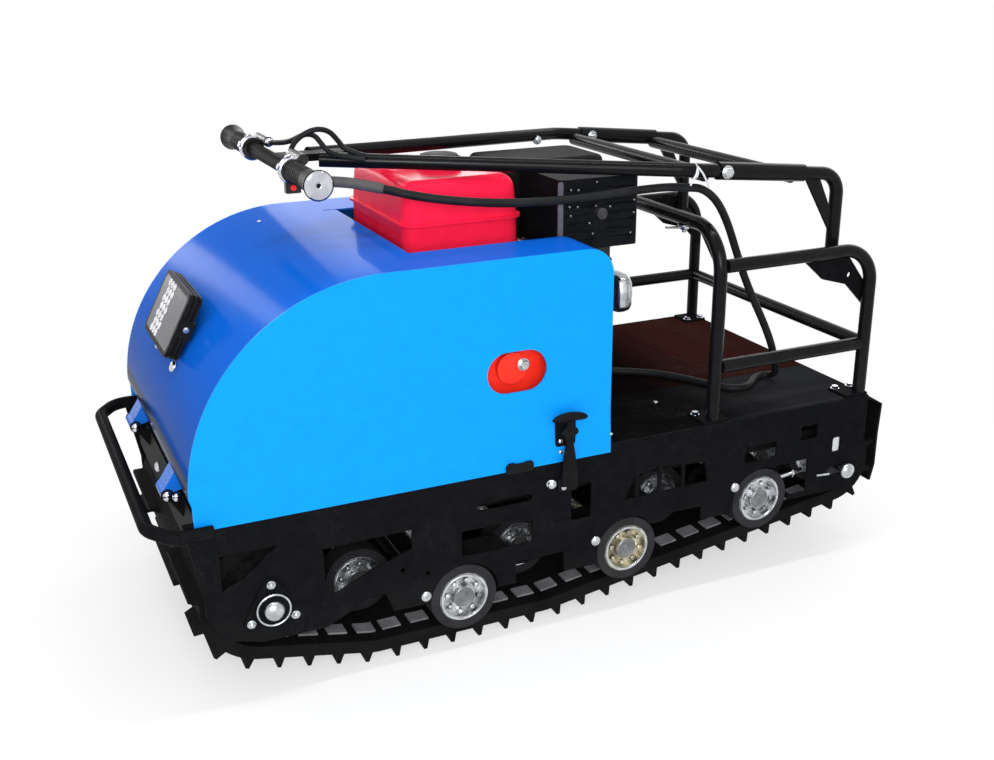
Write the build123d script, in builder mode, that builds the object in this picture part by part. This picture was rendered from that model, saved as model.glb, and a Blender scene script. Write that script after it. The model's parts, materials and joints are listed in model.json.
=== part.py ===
from build123d import *
import os
from math import atan2, cos, degrees, hypot, radians, sin, sqrt, tan, tau

# Tracked snow tug. Millimetres; X forward, Y left, Z up from the ground under the lugs' tips.

# Chassis
overall_length = 1282
flap_reach = 57
bumper_reach = 52
frame_width = 550
plate_thick = 4
plate_depth = 205
tail_depth = 168
tail_corner = 26
axle_drop = 210
floor_thick = 3
board_thick = 10
board_gap = 2
board_setback = 8
board_seam_ahead = 199
board_seam_line = 95
deck_length = 512
front_panel_setback = 19
front_panel_depth = 80
flap_thick = 4
flap_inset = 25
flap_height = 180

# Running gear
wheel_radius = 54
wheel_width = 36
wheel_inset = 3
hub_radius = 40
hub_dish = 8
hub_rim = 6
hub_boss_radius = 18
axle_radius = 8
fit_gap = 0.15
belt_thick = 20
belt_inset = 25
lug_height = 16
lug_root = 13
lug_flank = 78
lug_count = 56
lug_sink = 2
clip_width = 26
clip_length = 30
clip_thick = 3
clip_inset = 38
drive_setback = 113
drive_rise = 59
drive_radius = 78
drive_axle_radius = 15
drive_disc_width = 14
drive_inner_line = 90
tooth_gap = 18
tooth_depth = 9
tail_setback = 41
tail_rise = 79
rail_thick = 5
rail_inset = 90
rail_below = 16
rail_above = 48
rail_overhang = 26
cross_tube_radius = 10
cross_tube_rise = 22
inner_wheel_inset = 140

# Hood
hood_setback = 13
hood_radius = 290
hood_corner = 42
hood_rise = 315
hood_sheet = 3
hood_gap = 5
hood_step = 2
lip_height = 28
lip_fold = 8
front_upright = 10
cut_length = 310
cut_strip = 95
port_length = 97
port_height = 64
hinge_y = 145
hinge_pin = 5
hinge_play = 0.06
hinge_lug = 40
hinge_ear = 5
hinge_side_gap = 0.5
hinge_round = 9

# Engine
crank_setback = 159
crank_rise = 143
engine_ahead = 112
engine_behind = 138
engine_half = 150
engine_top = 270
head_length = 110
head_width = 250
head_y = -20
head_bottom = 90
head_top = 287
starter_radius = 110
starter_step = 82
starter_boss = 24
starter_rib = 10
starter_clear = 15
unit_gap = 30
unit_front_gap = 60
unit_width = 200
unit_height = 150

# Tank, muffler and air cleaner on the engine
tank_ahead = 16
tank_y = -15
tank_length = 191
tank_clear = 43
tank_corner = 24
tank_bottom = 285
tank_lip_rise = 338
tank_lip = 6
tank_lip_thick = 4
tank_top = 404
tank_taper = 5
tank_round = 22
cap_behind = 14
cap_radius = 34
cap_height = 16
muffler_behind = 192
muffler_length = 141
muffler_clear = 10
muffler_width = 145
muffler_top = 398
muffler_corner = 10
guard_sheet = 2
louvre_count = 7
louvre_pitch = 13
louvre_height = 5
louvre_length = 50
can_radius = 44
can_end_gap = 14
outlet_radius = 9
outlet_reach = 8
cleaner_behind = 187
cleaner_length = 200
cleaner_gap = 4
cleaner_width = 135
cleaner_bottom = 300
cleaner_lid = 352
cleaner_top = 405
cleaner_corner = 20
cleaner_step = 5
seat_size = 60

# Rack and bumper
tube_radius = 11
rack_inset = 15
rack_setback = 10
rack_length = 302
hoop_rise = 315
hoop_bend = 70
gusset_thick = 5
upper_rail_rise = 258
mid_rail_rise = 92
rack_bend = 58
foot_size = 46
foot_thick = 4
bumper_tube = 10
bumper_drop = 3
bumper_inset = 35
bumper_overlap = 40
bumper_straight = 12
bumper_bend = 40

# Tow lever
pivot_ahead = 58
pivot_rise = 227
pivot_pin = 6
pivot_plate = 6
pivot_tail = 2
lock_hole = 5
lock_back = 24
lock_drop = 15
lever_gap = 5
boss_radius = 18
boss_lap = 1
lever_elbow_rise = 380
lever_elbow_bend = 36
brace_drop = 110
brace_width = 30
brace_thick = 5
sleeve_radius = 14
sleeve_start = 72
sleeve_length = 165
sleeve_front_rise = 403
crossbar_ahead = 16
crossbar_drop = 8
arm_straight = 50
arm_bend = 90
arm_front_line = 30
arm_front_rise = 435
lever_reach = 881
stem_length = 66
stem_lap = 60
bar_rise = 437
bar_half = 250
grip_length = 120
grip_radius = 15
grip_flare = 21
grip_collar = 18
grip_taper = 48

# Heights worked out from the ground up
wheel_level = lug_height + belt_thick + wheel_radius
deck_level = wheel_level + axle_drop
drive_level = wheel_level + drive_rise
tail_level = wheel_level + tail_rise
floor_level = deck_level - board_thick
hood_floor = deck_level + hood_gap
hood_top = deck_level + hood_rise
crank_level = deck_level + crank_rise
bar_level = deck_level + bar_rise
pivot_level = deck_level + pivot_rise

# Places worked out along the frame, from its two ends and its deck
plate_rear = flap_reach - overall_length / 2
plate_front = overall_length / 2 - bumper_reach
front_panel_x = plate_front - front_panel_setback
drive_x = plate_front - drive_setback
tail_x = plate_rear + tail_setback
hood_front = plate_front - hood_setback
hood_rear = plate_rear + deck_length
cut_front = hood_rear + cut_length
crank_x = hood_rear + crank_setback
engine_front = crank_x + engine_ahead
engine_rear = crank_x - engine_behind
rear_post_x = plate_rear + rack_setback
post_x = rear_post_x + rack_length
pivot_x = rear_post_x + pivot_ahead
sleeve_rear = pivot_x + sleeve_start
sleeve_front = sleeve_rear + sleeve_length
bar_x = pivot_x + lever_reach
arm_front = bar_x - stem_length

# Lines worked out across the frame
plate_inside = frame_width / 2 - plate_thick
belt_width = frame_width - 2 * belt_inset
clip_line = belt_width / 2 - clip_inset
rail_line = frame_width / 2 - rail_inset
inner_wheel_line = frame_width / 2 - inner_wheel_inset
hood_half = frame_width / 2 - hood_step
cut_half = hood_half - cut_strip
rack_line = frame_width / 2 - rack_inset

# Wheel rows along the track: share of the way from the drive axle back to the tail axle
inner_shares = (0.163, 0.438, 0.702, 0.915)
outer_shares = (0.292, 0.574, 0.829)
inner_wheels = [drive_x - share * (drive_x - tail_x) for share in inner_shares]
outer_wheels = [drive_x - share * (drive_x - tail_x) for share in outer_shares]
first_inner, ramp_start, third_inner, last_inner = inner_wheels
front_outer, middle_outer, rear_outer = outer_wheels
ramp_slope = tail_rise / (ramp_start - tail_x)

# Hood curve: tangent to the top, springing from the front upright
hood_arc_z = hood_top - hood_radius
hood_spring = max(hood_arc_z, hood_floor + lip_height + front_upright)
hood_arc_x = hood_front - sqrt(hood_radius**2 - (hood_spring - hood_arc_z) ** 2)


def wheel_height(x):
    """Axle height on the level stretch, then up the straight ramp to the tail."""
    return wheel_level + max(0, ramp_start - x) * ramp_slope


def at_side(y):
    """Plane standing at y, drawn in X and Z; a positive extrusion runs towards -Y."""
    return Plane.XZ.offset(-y)


def rod(points, radius, bend=0):
    """Round bar along straight runs joined by bends, added to the open part."""
    with BuildLine() as route:
        if bend:
            FilletPolyline(*points, radius=bend)
        else:
            Polyline(*points)
    with BuildSketch(Plane(origin=route.line @ 0, z_dir=route.line % 0)) as section:
        Circle(radius)
    sweep(section.sketch, path=route.line)


def finish(piece, name):
    """Label a piece and write it as its own file."""
    piece.part.label = name
    export_step(piece.part, f"parts/{name}.step")


os.makedirs("parts", exist_ok=True)

# Track: a loop over the drive discs, the first and the ramp wheels and the tail wheels
track_rounds = (
    # x, z, radius, bottom run first
    (tail_x, tail_level, wheel_radius),
    (ramp_start, wheel_level, wheel_radius),
    (first_inner, wheel_level, wheel_radius),
    (drive_x, drive_level, drive_radius),
)


def tangent_angles(rounds):
    """Outward angle of the straight run that leaves each round for the next one."""
    angles = []
    for (x0, z0, r0), (x1, z1, r1) in zip(rounds, rounds[1:] + rounds[:1]):
        span = hypot(x1 - x0, z1 - z0)
        lean = (r0 - r1) / span
        along = ((x1 - x0) / span, (z1 - z0) / span)
        across = (1 - lean**2) ** 0.5
        angles.append(atan2(along[1] * lean - along[0] * across, along[0] * lean + along[1] * across))
    return angles


def track_line(grow):
    """Closed loop of straight runs and arcs, grown outwards from the belt's inner face."""
    angles = tangent_angles(track_rounds)
    for i, (x, z, r) in enumerate(track_rounds):
        start = angles[i - 1]
        end = start + (angles[i] - start) % tau
        radius = r + grow
        arc = [(x + radius * cos(a), z + radius * sin(a)) for a in (start, (start + end) / 2, end)]
        ThreePointArc(*arc)
        x1, z1, r1 = track_rounds[(i + 1) % len(track_rounds)]
        Line(arc[2], (x1 + (r1 + grow) * cos(end), z1 + (r1 + grow) * sin(end)))


lug_middle = 92
lug_edge = 64
lug_lap = 14
lug_bars = (
    # row parity, inner y, outer y
    (0, -lug_middle, lug_middle),
    (0, belt_width / 2 - lug_edge, belt_width / 2),
    (0, -belt_width / 2, lug_edge - belt_width / 2),
    (1, lug_middle - lug_lap, belt_width / 2),
    (1, -belt_width / 2, lug_lap - lug_middle),
)

with BuildPart() as track_belt:
    with BuildSketch(at_side(belt_width / 2)):
        with BuildLine() as belt_outside:
            track_line(belt_thick)
        make_face()
        with BuildLine():
            track_line(0)
        make_face(mode=Mode.SUBTRACT)
    extrude(amount=belt_width)
    lug_path = belt_outside.wires()[0]
    for parity, y_low, y_high in lug_bars:
        with BuildSketch(at_side(y_high)):
            for row in range(parity, lug_count, 2):
                root = lug_path @ (row / lug_count)
                along = lug_path % (row / lug_count)
                with Locations((root.X - lug_sink * along.Y, root.Y + lug_sink * along.X)):
                    Trapezoid(
                        lug_root,
                        lug_height + lug_sink,
                        lug_flank,
                        rotation=degrees(atan2(along.Y, along.X)) + 180,
                        align=(Align.CENTER, Align.MIN),
                    )
        extrude(amount=y_high - y_low)
finish(track_belt, "track_belt")

# Metal clips bent to the belt's inner face, one to a row, on both clip lines
with BuildPart() as track_clips:
    for line in (clip_line, -clip_line):
        with BuildSketch(at_side(line + clip_width / 2)):
            for row in range(lug_count):
                root = lug_path @ (row / lug_count)
                along = lug_path % (row / lug_count)
                with Locations((root.X - belt_thick * along.Y, root.Y + belt_thick * along.X)):
                    Rectangle(clip_length, 4 * clip_thick, rotation=degrees(atan2(along.Y, along.X)))
            with BuildLine():
                track_line(-fit_gap)
            make_face(mode=Mode.INTERSECT)
            with BuildLine():
                track_line(-fit_gap - clip_thick)
            make_face(mode=Mode.SUBTRACT)
        extrude(amount=clip_width)
finish(track_clips, "track_clips")

# Side plates: outline with round wheel notches, then the pierced windows
notch_radius = wheel_radius + 4
window_corner = 5
plate_edge = (
    # place it follows, distance ahead of that place, drop below the deck
    (plate_rear, 0, 0),
    (plate_front, 0, 0),
    (plate_front, -20, 113),
    (plate_front, -20, 145),
    (plate_front, -45, 190),
    (plate_front, -97, plate_depth),
    (drive_x, -80, plate_depth),
    (first_inner, 16, 171),
    (first_inner, -4, 171),
    (first_inner, -17, plate_depth),
    (front_outer, -87, plate_depth),
    (front_outer, -87, 169),
    (ramp_start, -21, 169),
    (ramp_start, -25, plate_depth),
    (middle_outer, -47, plate_depth),
    (middle_outer, -47, 143),
    (third_inner, -10, 143),
    (third_inner, -10, tail_depth),
    (plate_rear, 0, tail_depth),
)
plate_windows = (
    # wheel it follows, distance ahead of that wheel, drop of the centre, length, height
    (front_outer, -56, 119, 120, 44),
    (front_outer, -69, 63, 93, 13),
    (ramp_start, -52, 88, 36, 62),
    (rear_outer, 5, 68, 65, 30),
    (last_inner, -6, 49, 36, 26),
    (tail_x, 19, 82, 18, 28),
)
plate_openings = (
    # wheel it follows, then distance ahead of that wheel and drop of each corner
    (first_inner, ((87, 78), (-49, 76), (-49, 108), (20, 131), (78, 157), (87, 150))),
    (middle_outer, ((9, 103), (-12, 62), (-58, 55), (-143, 62), (-150, 100))),
    (drive_x, ((-15, 57), (68, 57), (68, 112), (38, 100))),
    (last_inner, ((60, 98), (-8, 98), (-8, 160), (60, 160))),
)
plate_holes = (
    # wheel it follows, distance ahead of that wheel, drop, radius
    (first_inner, -33, 140, 4),
    (first_inner, -72, 154, 4),
    (rear_outer, 34, 118, 4),
)
grille_bars = (-15, -58, -102)
grille_bar = 6
grille_drop = 79
grille_height = 52
tail_slot = 52
tail_slot_ahead = 10

with BuildPart() as side_plate_left:
    with BuildSketch(at_side(frame_width / 2)) as plate:
        with BuildLine():
            Polyline(*[(place + ahead, deck_level - drop) for place, ahead, drop in plate_edge], close=True)
        make_face()
        fillet(plate.vertices().group_by(Axis.X)[0].sort_by(Axis.Y)[0], tail_corner)
        for x in outer_wheels:
            with Locations((x, wheel_height(x))):
                Circle(notch_radius, mode=Mode.SUBTRACT)
                Rectangle(2 * notch_radius, notch_radius, align=(Align.CENTER, Align.MAX), mode=Mode.SUBTRACT)
        for wheel, ahead, drop, long, high in plate_windows:
            with Locations((wheel + ahead, deck_level - drop)):
                RectangleRounded(long, high, window_corner, mode=Mode.SUBTRACT)
        for wheel, corners in plate_openings:
            with BuildLine():
                Polyline(*[(wheel + ahead, deck_level - drop) for ahead, drop in corners], close=True)
            make_face(mode=Mode.SUBTRACT)
        for wheel, ahead, drop, hole in plate_holes:
            with Locations((wheel + ahead, deck_level - drop)):
                Circle(hole, mode=Mode.SUBTRACT)
        for ahead in grille_bars:
            with Locations((middle_outer + ahead, deck_level - grille_drop)):
                Rectangle(grille_bar, grille_height)
        with Locations((drive_x, drive_level)):
            Circle(drive_axle_radius + 2, mode=Mode.SUBTRACT)
        with Locations((tail_x + tail_slot_ahead, tail_level)):
            SlotOverall(tail_slot, 2 * axle_radius + 1, mode=Mode.SUBTRACT)
    extrude(amount=plate_thick)
finish(side_plate_left, "side_plate_left")

with BuildPart() as side_plate_right:
    mirror(side_plate_left.part, about=Plane.XZ)
finish(side_plate_right, "side_plate_right")

# Wheels: tyres round their hubs, each pair of hubs on one axle
wheel_rows = (
    # places along the track, y of the tyres' outer faces
    (outer_wheels, frame_width / 2 - wheel_inset),
    (inner_wheels, inner_wheel_line + wheel_width / 2),
    ((tail_x,), clip_line - clip_width / 2 - wheel_inset),
)


def wheel_tyres(places, face):
    """Plain rubber rings at both sides of each axle."""
    for x in places:
        for y in (face, wheel_width - face):
            with BuildSketch(at_side(y)) as ring:
                with Locations((x, wheel_height(x))):
                    Circle(wheel_radius)
                    Circle(hub_radius, mode=Mode.SUBTRACT)
            extrude(ring.sketch, amount=wheel_width)


def wheel_hubs(places, face):
    """Dished hubs at both ends of each axle, turned about the axle in one profile."""
    for x in places:
        height = wheel_height(x)
        rim = hub_radius - fit_gap
        web = hub_radius - hub_rim
        inside = face - wheel_width
        with BuildSketch(Plane.YX.offset(-height)) as profile:
            with BuildLine():
                Polyline(
                    (0, x),
                    (face, x),
                    (face, x + hub_boss_radius),
                    (face - hub_dish, x + hub_boss_radius),
                    (face - hub_dish, x + web),
                    (face, x + web),
                    (face, x + rim),
                    (inside, x + rim),
                    (inside, x + web),
                    (inside + hub_dish, x + web),
                    (inside + hub_dish, x + hub_boss_radius),
                    (inside, x + hub_boss_radius),
                    (inside, x + axle_radius),
                    (0, x + axle_radius),
                    close=True,
                )
            make_face()
            mirror(about=Plane.YZ)
        revolve(profile.sketch, axis=Axis((x, 0, height), (0, 1, 0)))


with BuildPart() as outer_wheel_tyres:
    wheel_tyres(*wheel_rows[0])
finish(outer_wheel_tyres, "outer_wheel_tyres")

with BuildPart() as outer_wheel_hubs:
    wheel_hubs(*wheel_rows[0])
finish(outer_wheel_hubs, "outer_wheel_hubs")

with BuildPart() as inner_wheel_tyres:
    wheel_tyres(*wheel_rows[1])
finish(inner_wheel_tyres, "inner_wheel_tyres")

with BuildPart() as inner_wheel_hubs:
    wheel_hubs(*wheel_rows[1])
finish(inner_wheel_hubs, "inner_wheel_hubs")

with BuildPart() as tail_wheel_tyres:
    wheel_tyres(*wheel_rows[2])
finish(tail_wheel_tyres, "tail_wheel_tyres")

# Tail axle with its hubs, long enough to pass through both plates' slots
axle_reach = 10
tail_end = frame_width / 2 + axle_reach
with BuildPart() as tail_axle:
    wheel_hubs(*wheel_rows[2])
    with BuildSketch(at_side(tail_end)):
        with Locations((tail_x, tail_level)):
            Circle(axle_radius)
    extrude(amount=2 * tail_end)
finish(tail_axle, "tail_axle")

# Drive axle with toothed discs, as many teeth as belt rows go round them
drive_reach = 14
drive_end = frame_width / 2 + drive_reach
disc_radius = drive_radius - 2 * clip_thick
tooth_count = round(tau * drive_radius * lug_count / lug_path.length)
with BuildPart() as drive_axle:
    with BuildSketch(at_side(drive_end)):
        with Locations((drive_x, drive_level)):
            Circle(drive_axle_radius)
    extrude(amount=2 * drive_end)
    for line in (clip_line, drive_inner_line, -drive_inner_line, -clip_line):
        with BuildSketch(at_side(line + drive_disc_width / 2)):
            with Locations((drive_x, drive_level)):
                Circle(disc_radius)
                with PolarLocations(disc_radius, tooth_count):
                    Rectangle(2 * tooth_depth, tooth_gap, mode=Mode.SUBTRACT)
        extrude(amount=drive_disc_width)
finish(drive_axle, "drive_axle")

# Three-bolt flange bearings on the plates' outer faces
bearing_ring = 26
bearing_rim = 4
bearing_bolt_circle = 37
bearing_bolt = 10
bearing_flange = 5
bearing_nose = 11
with BuildPart() as axle_bearings:
    with BuildSketch(at_side(frame_width / 2 + bearing_flange)):
        with Locations((drive_x, drive_level)):
            Circle(bearing_ring + bearing_rim)
            with PolarLocations(bearing_bolt_circle, 3, start_angle=90):
                Circle(bearing_bolt)
            make_hull()
            Circle(drive_axle_radius + fit_gap, mode=Mode.SUBTRACT)
    extrude(amount=bearing_flange)
    with BuildSketch(at_side(frame_width / 2 + bearing_nose)):
        with Locations((drive_x, drive_level)):
            Circle(bearing_ring)
            Circle(drive_axle_radius + fit_gap, mode=Mode.SUBTRACT)
    extrude(amount=bearing_nose - bearing_flange)
    mirror(about=Plane.XZ)
finish(axle_bearings, "axle_bearings")

# Rails that carry the wheel axles, hung on cross tubes between the plates
cross_tubes = [(ahead + behind) / 2 for ahead, behind in zip(inner_wheels, outer_wheels)]
rail_front = first_inner + rail_overhang
rail_rear = last_inner - rail_overhang
with BuildPart() as wheel_rails:
    with BuildSketch(at_side(rail_line + rail_thick / 2)):
        with BuildLine():
            Polyline(
                (rail_rear, wheel_height(rail_rear) - rail_below),
                (ramp_start, wheel_level - rail_below),
                (rail_front, wheel_level - rail_below),
                (rail_front, wheel_level + rail_above),
                (ramp_start, wheel_level + rail_above),
                (rail_rear, wheel_height(rail_rear) + rail_above),
                close=True,
            )
        make_face()
        for x in outer_wheels + inner_wheels:
            with Locations((x, wheel_height(x))):
                Circle(axle_radius + fit_gap, mode=Mode.SUBTRACT)
        for x in cross_tubes:
            with Locations((x, wheel_height(x) + cross_tube_rise)):
                Circle(cross_tube_radius + fit_gap, mode=Mode.SUBTRACT)
    extrude(amount=rail_thick)
    mirror(about=Plane.XZ)
finish(wheel_rails, "wheel_rails")

with BuildPart() as frame_cross_tubes:
    with BuildSketch(at_side(plate_inside)):
        for x in cross_tubes:
            with Locations((x, wheel_height(x) + cross_tube_rise)):
                Circle(cross_tube_radius)
    extrude(amount=2 * plate_inside)
finish(frame_cross_tubes, "frame_cross_tubes")

# Floor sheet, front panel, three deck boards cut round the rack's feet, and rear flap
with BuildPart() as floor_sheet:
    with BuildSketch(Plane.XY.offset(floor_level - floor_thick)):
        with Locations(((plate_rear + front_panel_x) / 2, 0)):
            Rectangle(front_panel_x - plate_rear, 2 * plate_inside)
    extrude(amount=floor_thick)
    with BuildSketch(Plane.XY.offset(deck_level)):
        with Locations((front_panel_x, 0)):
            Rectangle(floor_thick, 2 * plate_inside, align=(Align.MAX, Align.CENTER))
    extrude(amount=-front_panel_depth)
finish(floor_sheet, "floor_sheet")

foot_line = plate_inside - foot_size / 2
foot_places = [
    (x, y)
    for x in (post_x, plate_rear + foot_size / 2)
    for y in (foot_line, -foot_line)
]
with BuildPart() as rack_feet:
    with BuildSketch(Plane.XY.offset(floor_level)):
        with Locations(*foot_places):
            Rectangle(foot_size, foot_size)
    extrude(amount=board_thick + foot_thick)
finish(rack_feet, "rack_feet")

board_front = hood_rear - board_setback
board_edge = plate_inside - board_gap
foot_notch = foot_size + 2 * board_gap
board_seam_x = plate_rear + board_seam_ahead
with BuildPart() as deck_board:
    with BuildSketch(Plane.XY.offset(floor_level)):
        with Locations(((plate_rear + board_front) / 2, 0)):
            Rectangle(board_front - plate_rear, 2 * board_edge)
        with Locations(*foot_places):
            Rectangle(foot_notch, foot_notch, mode=Mode.SUBTRACT)
        with Locations((board_seam_x, 0)):
            Rectangle(board_gap, 2 * board_edge, mode=Mode.SUBTRACT)
        with Locations((board_seam_x, board_seam_line)):
            Rectangle(board_seam_ahead, board_gap, align=(Align.MAX, Align.CENTER), mode=Mode.SUBTRACT)
    extrude(amount=board_thick)
finish(deck_board, "deck_board")

flap_tip = -overall_length / 2
flap_width = frame_width - 2 * flap_inset
flap_skirt = (
    # distance ahead of the flap's tip, drop below the deck
    (0, 34),
    (3, 90),
    (3, 150),
    (10, flap_height),
)
with BuildPart() as rear_flap:
    with BuildSketch(at_side(flap_width / 2)):
        with BuildLine():
            Polyline(
                (plate_rear, deck_level),
                *[(flap_tip + ahead, deck_level - drop) for ahead, drop in flap_skirt],
                *[(flap_tip + ahead + flap_thick, deck_level - drop) for ahead, drop in reversed(flap_skirt)],
                (plate_rear, floor_level),
                close=True,
            )
        make_face()
    extrude(amount=flap_width)
finish(rear_flap, "rear_flap")

# Bumper hoop between the plates' front corners
bumper_tip = overall_length / 2 - bumper_tube
bumper_level = deck_level - bumper_drop - bumper_tube
bumper_root = plate_front - bumper_overlap
bumper_leg = plate_front + bumper_straight
bumper_line = frame_width / 2 + bumper_tube + fit_gap
bumper_half = frame_width / 2 - bumper_inset
with BuildPart() as bumper_hoop:
    rod(
        ((bumper_root, bumper_line, bumper_level),
         (bumper_leg, bumper_line, bumper_level),
         (bumper_tip, bumper_half, bumper_level),
         (bumper_tip, -bumper_half, bumper_level),
         (bumper_leg, -bumper_line, bumper_level),
         (bumper_root, -bumper_line, bumper_level)),
        bumper_tube,
        bumper_bend,
    )
finish(bumper_hoop, "bumper_hoop")

# Hood: rolled sheet between two flat sides, cut away round the engine's top
def hood_outline(inset):
    """Front lip and upright, quarter arc, flat top, rear corner and rear upright, moved inwards by inset."""
    front = hood_front - inset
    rear = hood_rear + inset
    top = hood_top - inset
    arc = hood_radius - inset
    corner = hood_corner - inset
    spring = degrees(atan2(hood_spring - hood_arc_z, front - hood_arc_x))
    spring_z = hood_arc_z + arc * sin(radians(spring))
    spring_x = hood_arc_x + arc * cos(radians(spring))
    Polyline((front - lip_fold, hood_floor), (front, hood_floor + lip_height), (spring_x, spring_z))
    CenterArc((hood_arc_x, hood_arc_z), arc, spring, 90 - spring)
    Line((hood_arc_x, top), (hood_rear + hood_corner, top))
    CenterArc((hood_rear + hood_corner, hood_top - hood_corner), corner, 90, 90)
    Line((rear, hood_top - hood_corner), (rear, hood_floor))
    Line((rear, hood_floor), (front - lip_fold, hood_floor))


wrap_half = hood_half - hood_sheet
with BuildPart() as hood_wrap:
    with BuildSketch(at_side(wrap_half)):
        with BuildLine():
            hood_outline(0)
        make_face()
        with BuildLine():
            hood_outline(hood_sheet)
        make_face(mode=Mode.SUBTRACT)
    extrude(amount=2 * wrap_half)
    with BuildSketch(Plane.XY.offset(hood_floor)):
        with Locations((cut_front, 0)):
            Rectangle(2 * cut_length, 2 * cut_half, align=(Align.MAX, Align.CENTER))
    extrude(amount=hood_rise, mode=Mode.SUBTRACT)
finish(hood_wrap, "hood_wrap")

with BuildPart() as hood_side_left:
    with BuildSketch(at_side(hood_half)):
        with BuildLine():
            hood_outline(0)
        make_face()
        with Locations((crank_x, crank_level)):
            SlotOverall(port_length, port_height, mode=Mode.SUBTRACT)
    extrude(amount=hood_sheet)
finish(hood_side_left, "hood_side_left")

with BuildPart() as hood_side_right:
    with BuildSketch(at_side(hood_sheet - hood_half)):
        with BuildLine():
            hood_outline(0)
        make_face()
    extrude(amount=hood_sheet)
finish(hood_side_right, "hood_side_right")

# Hood hinges: lugs on the hood's front lip between ears on the front panel
hinge_x = plate_front
hinge_level = deck_level
ear_top = 8
ear_foot = 36
with BuildPart() as hood_hinge_lugs:
    for line in (hinge_y, -hinge_y):
        with BuildSketch(at_side(line + hinge_lug / 2)):
            with Locations((hinge_x, hinge_level)):
                Circle(hinge_round)
            with BuildLine():
                Polyline(
                    (hood_front - lip_fold, hood_floor),
                    (hinge_x, hinge_level),
                    (hinge_x + hinge_round, hinge_level),
                    (hood_front, hood_floor + lip_height),
                    close=True,
                )
            make_face()
            with Locations((hinge_x, hinge_level)):
                Circle(hinge_pin + hinge_play, mode=Mode.SUBTRACT)
        extrude(amount=hinge_lug)
finish(hood_hinge_lugs, "hood_hinge_lugs")

ear_offset = hinge_lug / 2 + hinge_side_gap
with BuildPart() as hinge_ears:
    for line in (hinge_y, -hinge_y):
        for y in (line + ear_offset + hinge_ear, line - ear_offset):
            with BuildSketch(at_side(y)):
                with Locations((hinge_x, hinge_level)):
                    Circle(hinge_round)
                with BuildLine():
                    Polyline(
                        (front_panel_x, hinge_level - ear_top),
                        (front_panel_x, hinge_level - ear_foot),
                        (hinge_x, hinge_level - hinge_pin),
                        (hinge_x, hinge_level),
                        close=True,
                    )
                make_face()
            extrude(amount=hinge_ear)
        with BuildSketch(at_side(line + ear_offset + hinge_ear)):
            with Locations((hinge_x, hinge_level)):
                Circle(hinge_pin)
        extrude(amount=2 * (ear_offset + hinge_ear))
finish(hinge_ears, "hinge_ears")

# Engine: plain block with its cylinder head and its stepped starter cover
with BuildPart() as engine_block:
    with BuildSketch(Plane.XY.offset(floor_level)):
        with Locations(((engine_front + engine_rear) / 2, 0)):
            Rectangle(engine_front - engine_rear, 2 * engine_half)
    extrude(amount=board_thick + engine_top)
    with BuildSketch(Plane.XY.offset(deck_level + head_bottom)):
        with Locations((engine_rear, head_y)):
            Rectangle(head_length, head_width, align=(Align.MAX, Align.CENTER))
    extrude(amount=head_top - head_bottom)
finish(engine_block, "engine_block")

starter_face = wrap_half - starter_clear
with BuildPart() as starter_cover:
    for face, radius in (
        (starter_face - 2 * starter_rib, starter_radius),
        (starter_face - starter_rib, starter_step),
        (starter_face, starter_boss),
    ):
        with BuildSketch(at_side(face)):
            with Locations((crank_x, crank_level)):
                Circle(radius)
        extrude(amount=face - engine_half)
finish(starter_cover, "starter_cover")

# Closed gear and chain case between the engine and the front panel
with BuildPart() as drive_unit:
    unit_rear = engine_front + unit_gap
    unit_length = front_panel_x - unit_front_gap - unit_rear
    with BuildSketch(Plane.XY.offset(floor_level)):
        with Locations((unit_rear + unit_length / 2, 0)):
            Rectangle(unit_length, unit_width)
    extrude(amount=board_thick + unit_height)
finish(drive_unit, "drive_unit")

# Fuel tank: skirt, pressed lip and a tapered, rounded upper shell
tank_x = crank_x + tank_ahead
tank_width = 2 * (cut_half - tank_clear)
with BuildPart() as fuel_tank:
    with BuildSketch(Plane.XY.offset(deck_level + engine_top)):
        with Locations((tank_x, tank_y)):
            Rectangle(tank_length - 2 * tank_corner, tank_width - 2 * tank_corner)
    extrude(amount=tank_bottom - engine_top)
    with BuildSketch(Plane.XY.offset(deck_level + tank_bottom)):
        with Locations((tank_x, tank_y)):
            RectangleRounded(tank_length, tank_width, tank_corner)
    extrude(amount=tank_lip_rise - tank_bottom)
    with BuildSketch(Plane.XY.offset(deck_level + tank_lip_rise)):
        with Locations((tank_x, tank_y)):
            RectangleRounded(tank_length + 2 * tank_lip, tank_width + 2 * tank_lip, tank_corner + tank_lip)
    extrude(amount=tank_lip_thick)
    with BuildSketch(Plane.XY.offset(deck_level + tank_lip_rise + tank_lip_thick)):
        with Locations((tank_x, tank_y)):
            RectangleRounded(tank_length, tank_width, tank_corner)
    extrude(amount=tank_top - tank_lip_rise - tank_lip_thick, taper=tank_taper)
    fillet(fuel_tank.faces().sort_by(Axis.Z)[-1].edges(), tank_round)
finish(fuel_tank, "fuel_tank")

with BuildPart() as tank_cap:
    with BuildSketch(Plane.XY.offset(deck_level + tank_top)):
        with Locations((tank_x - cap_behind, tank_y)):
            Circle(cap_radius)
    extrude(amount=cap_height)
    fillet(tank_cap.faces().sort_by(Axis.Z)[-1].edges(), cap_height / 2)
finish(tank_cap, "tank_cap")

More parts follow.
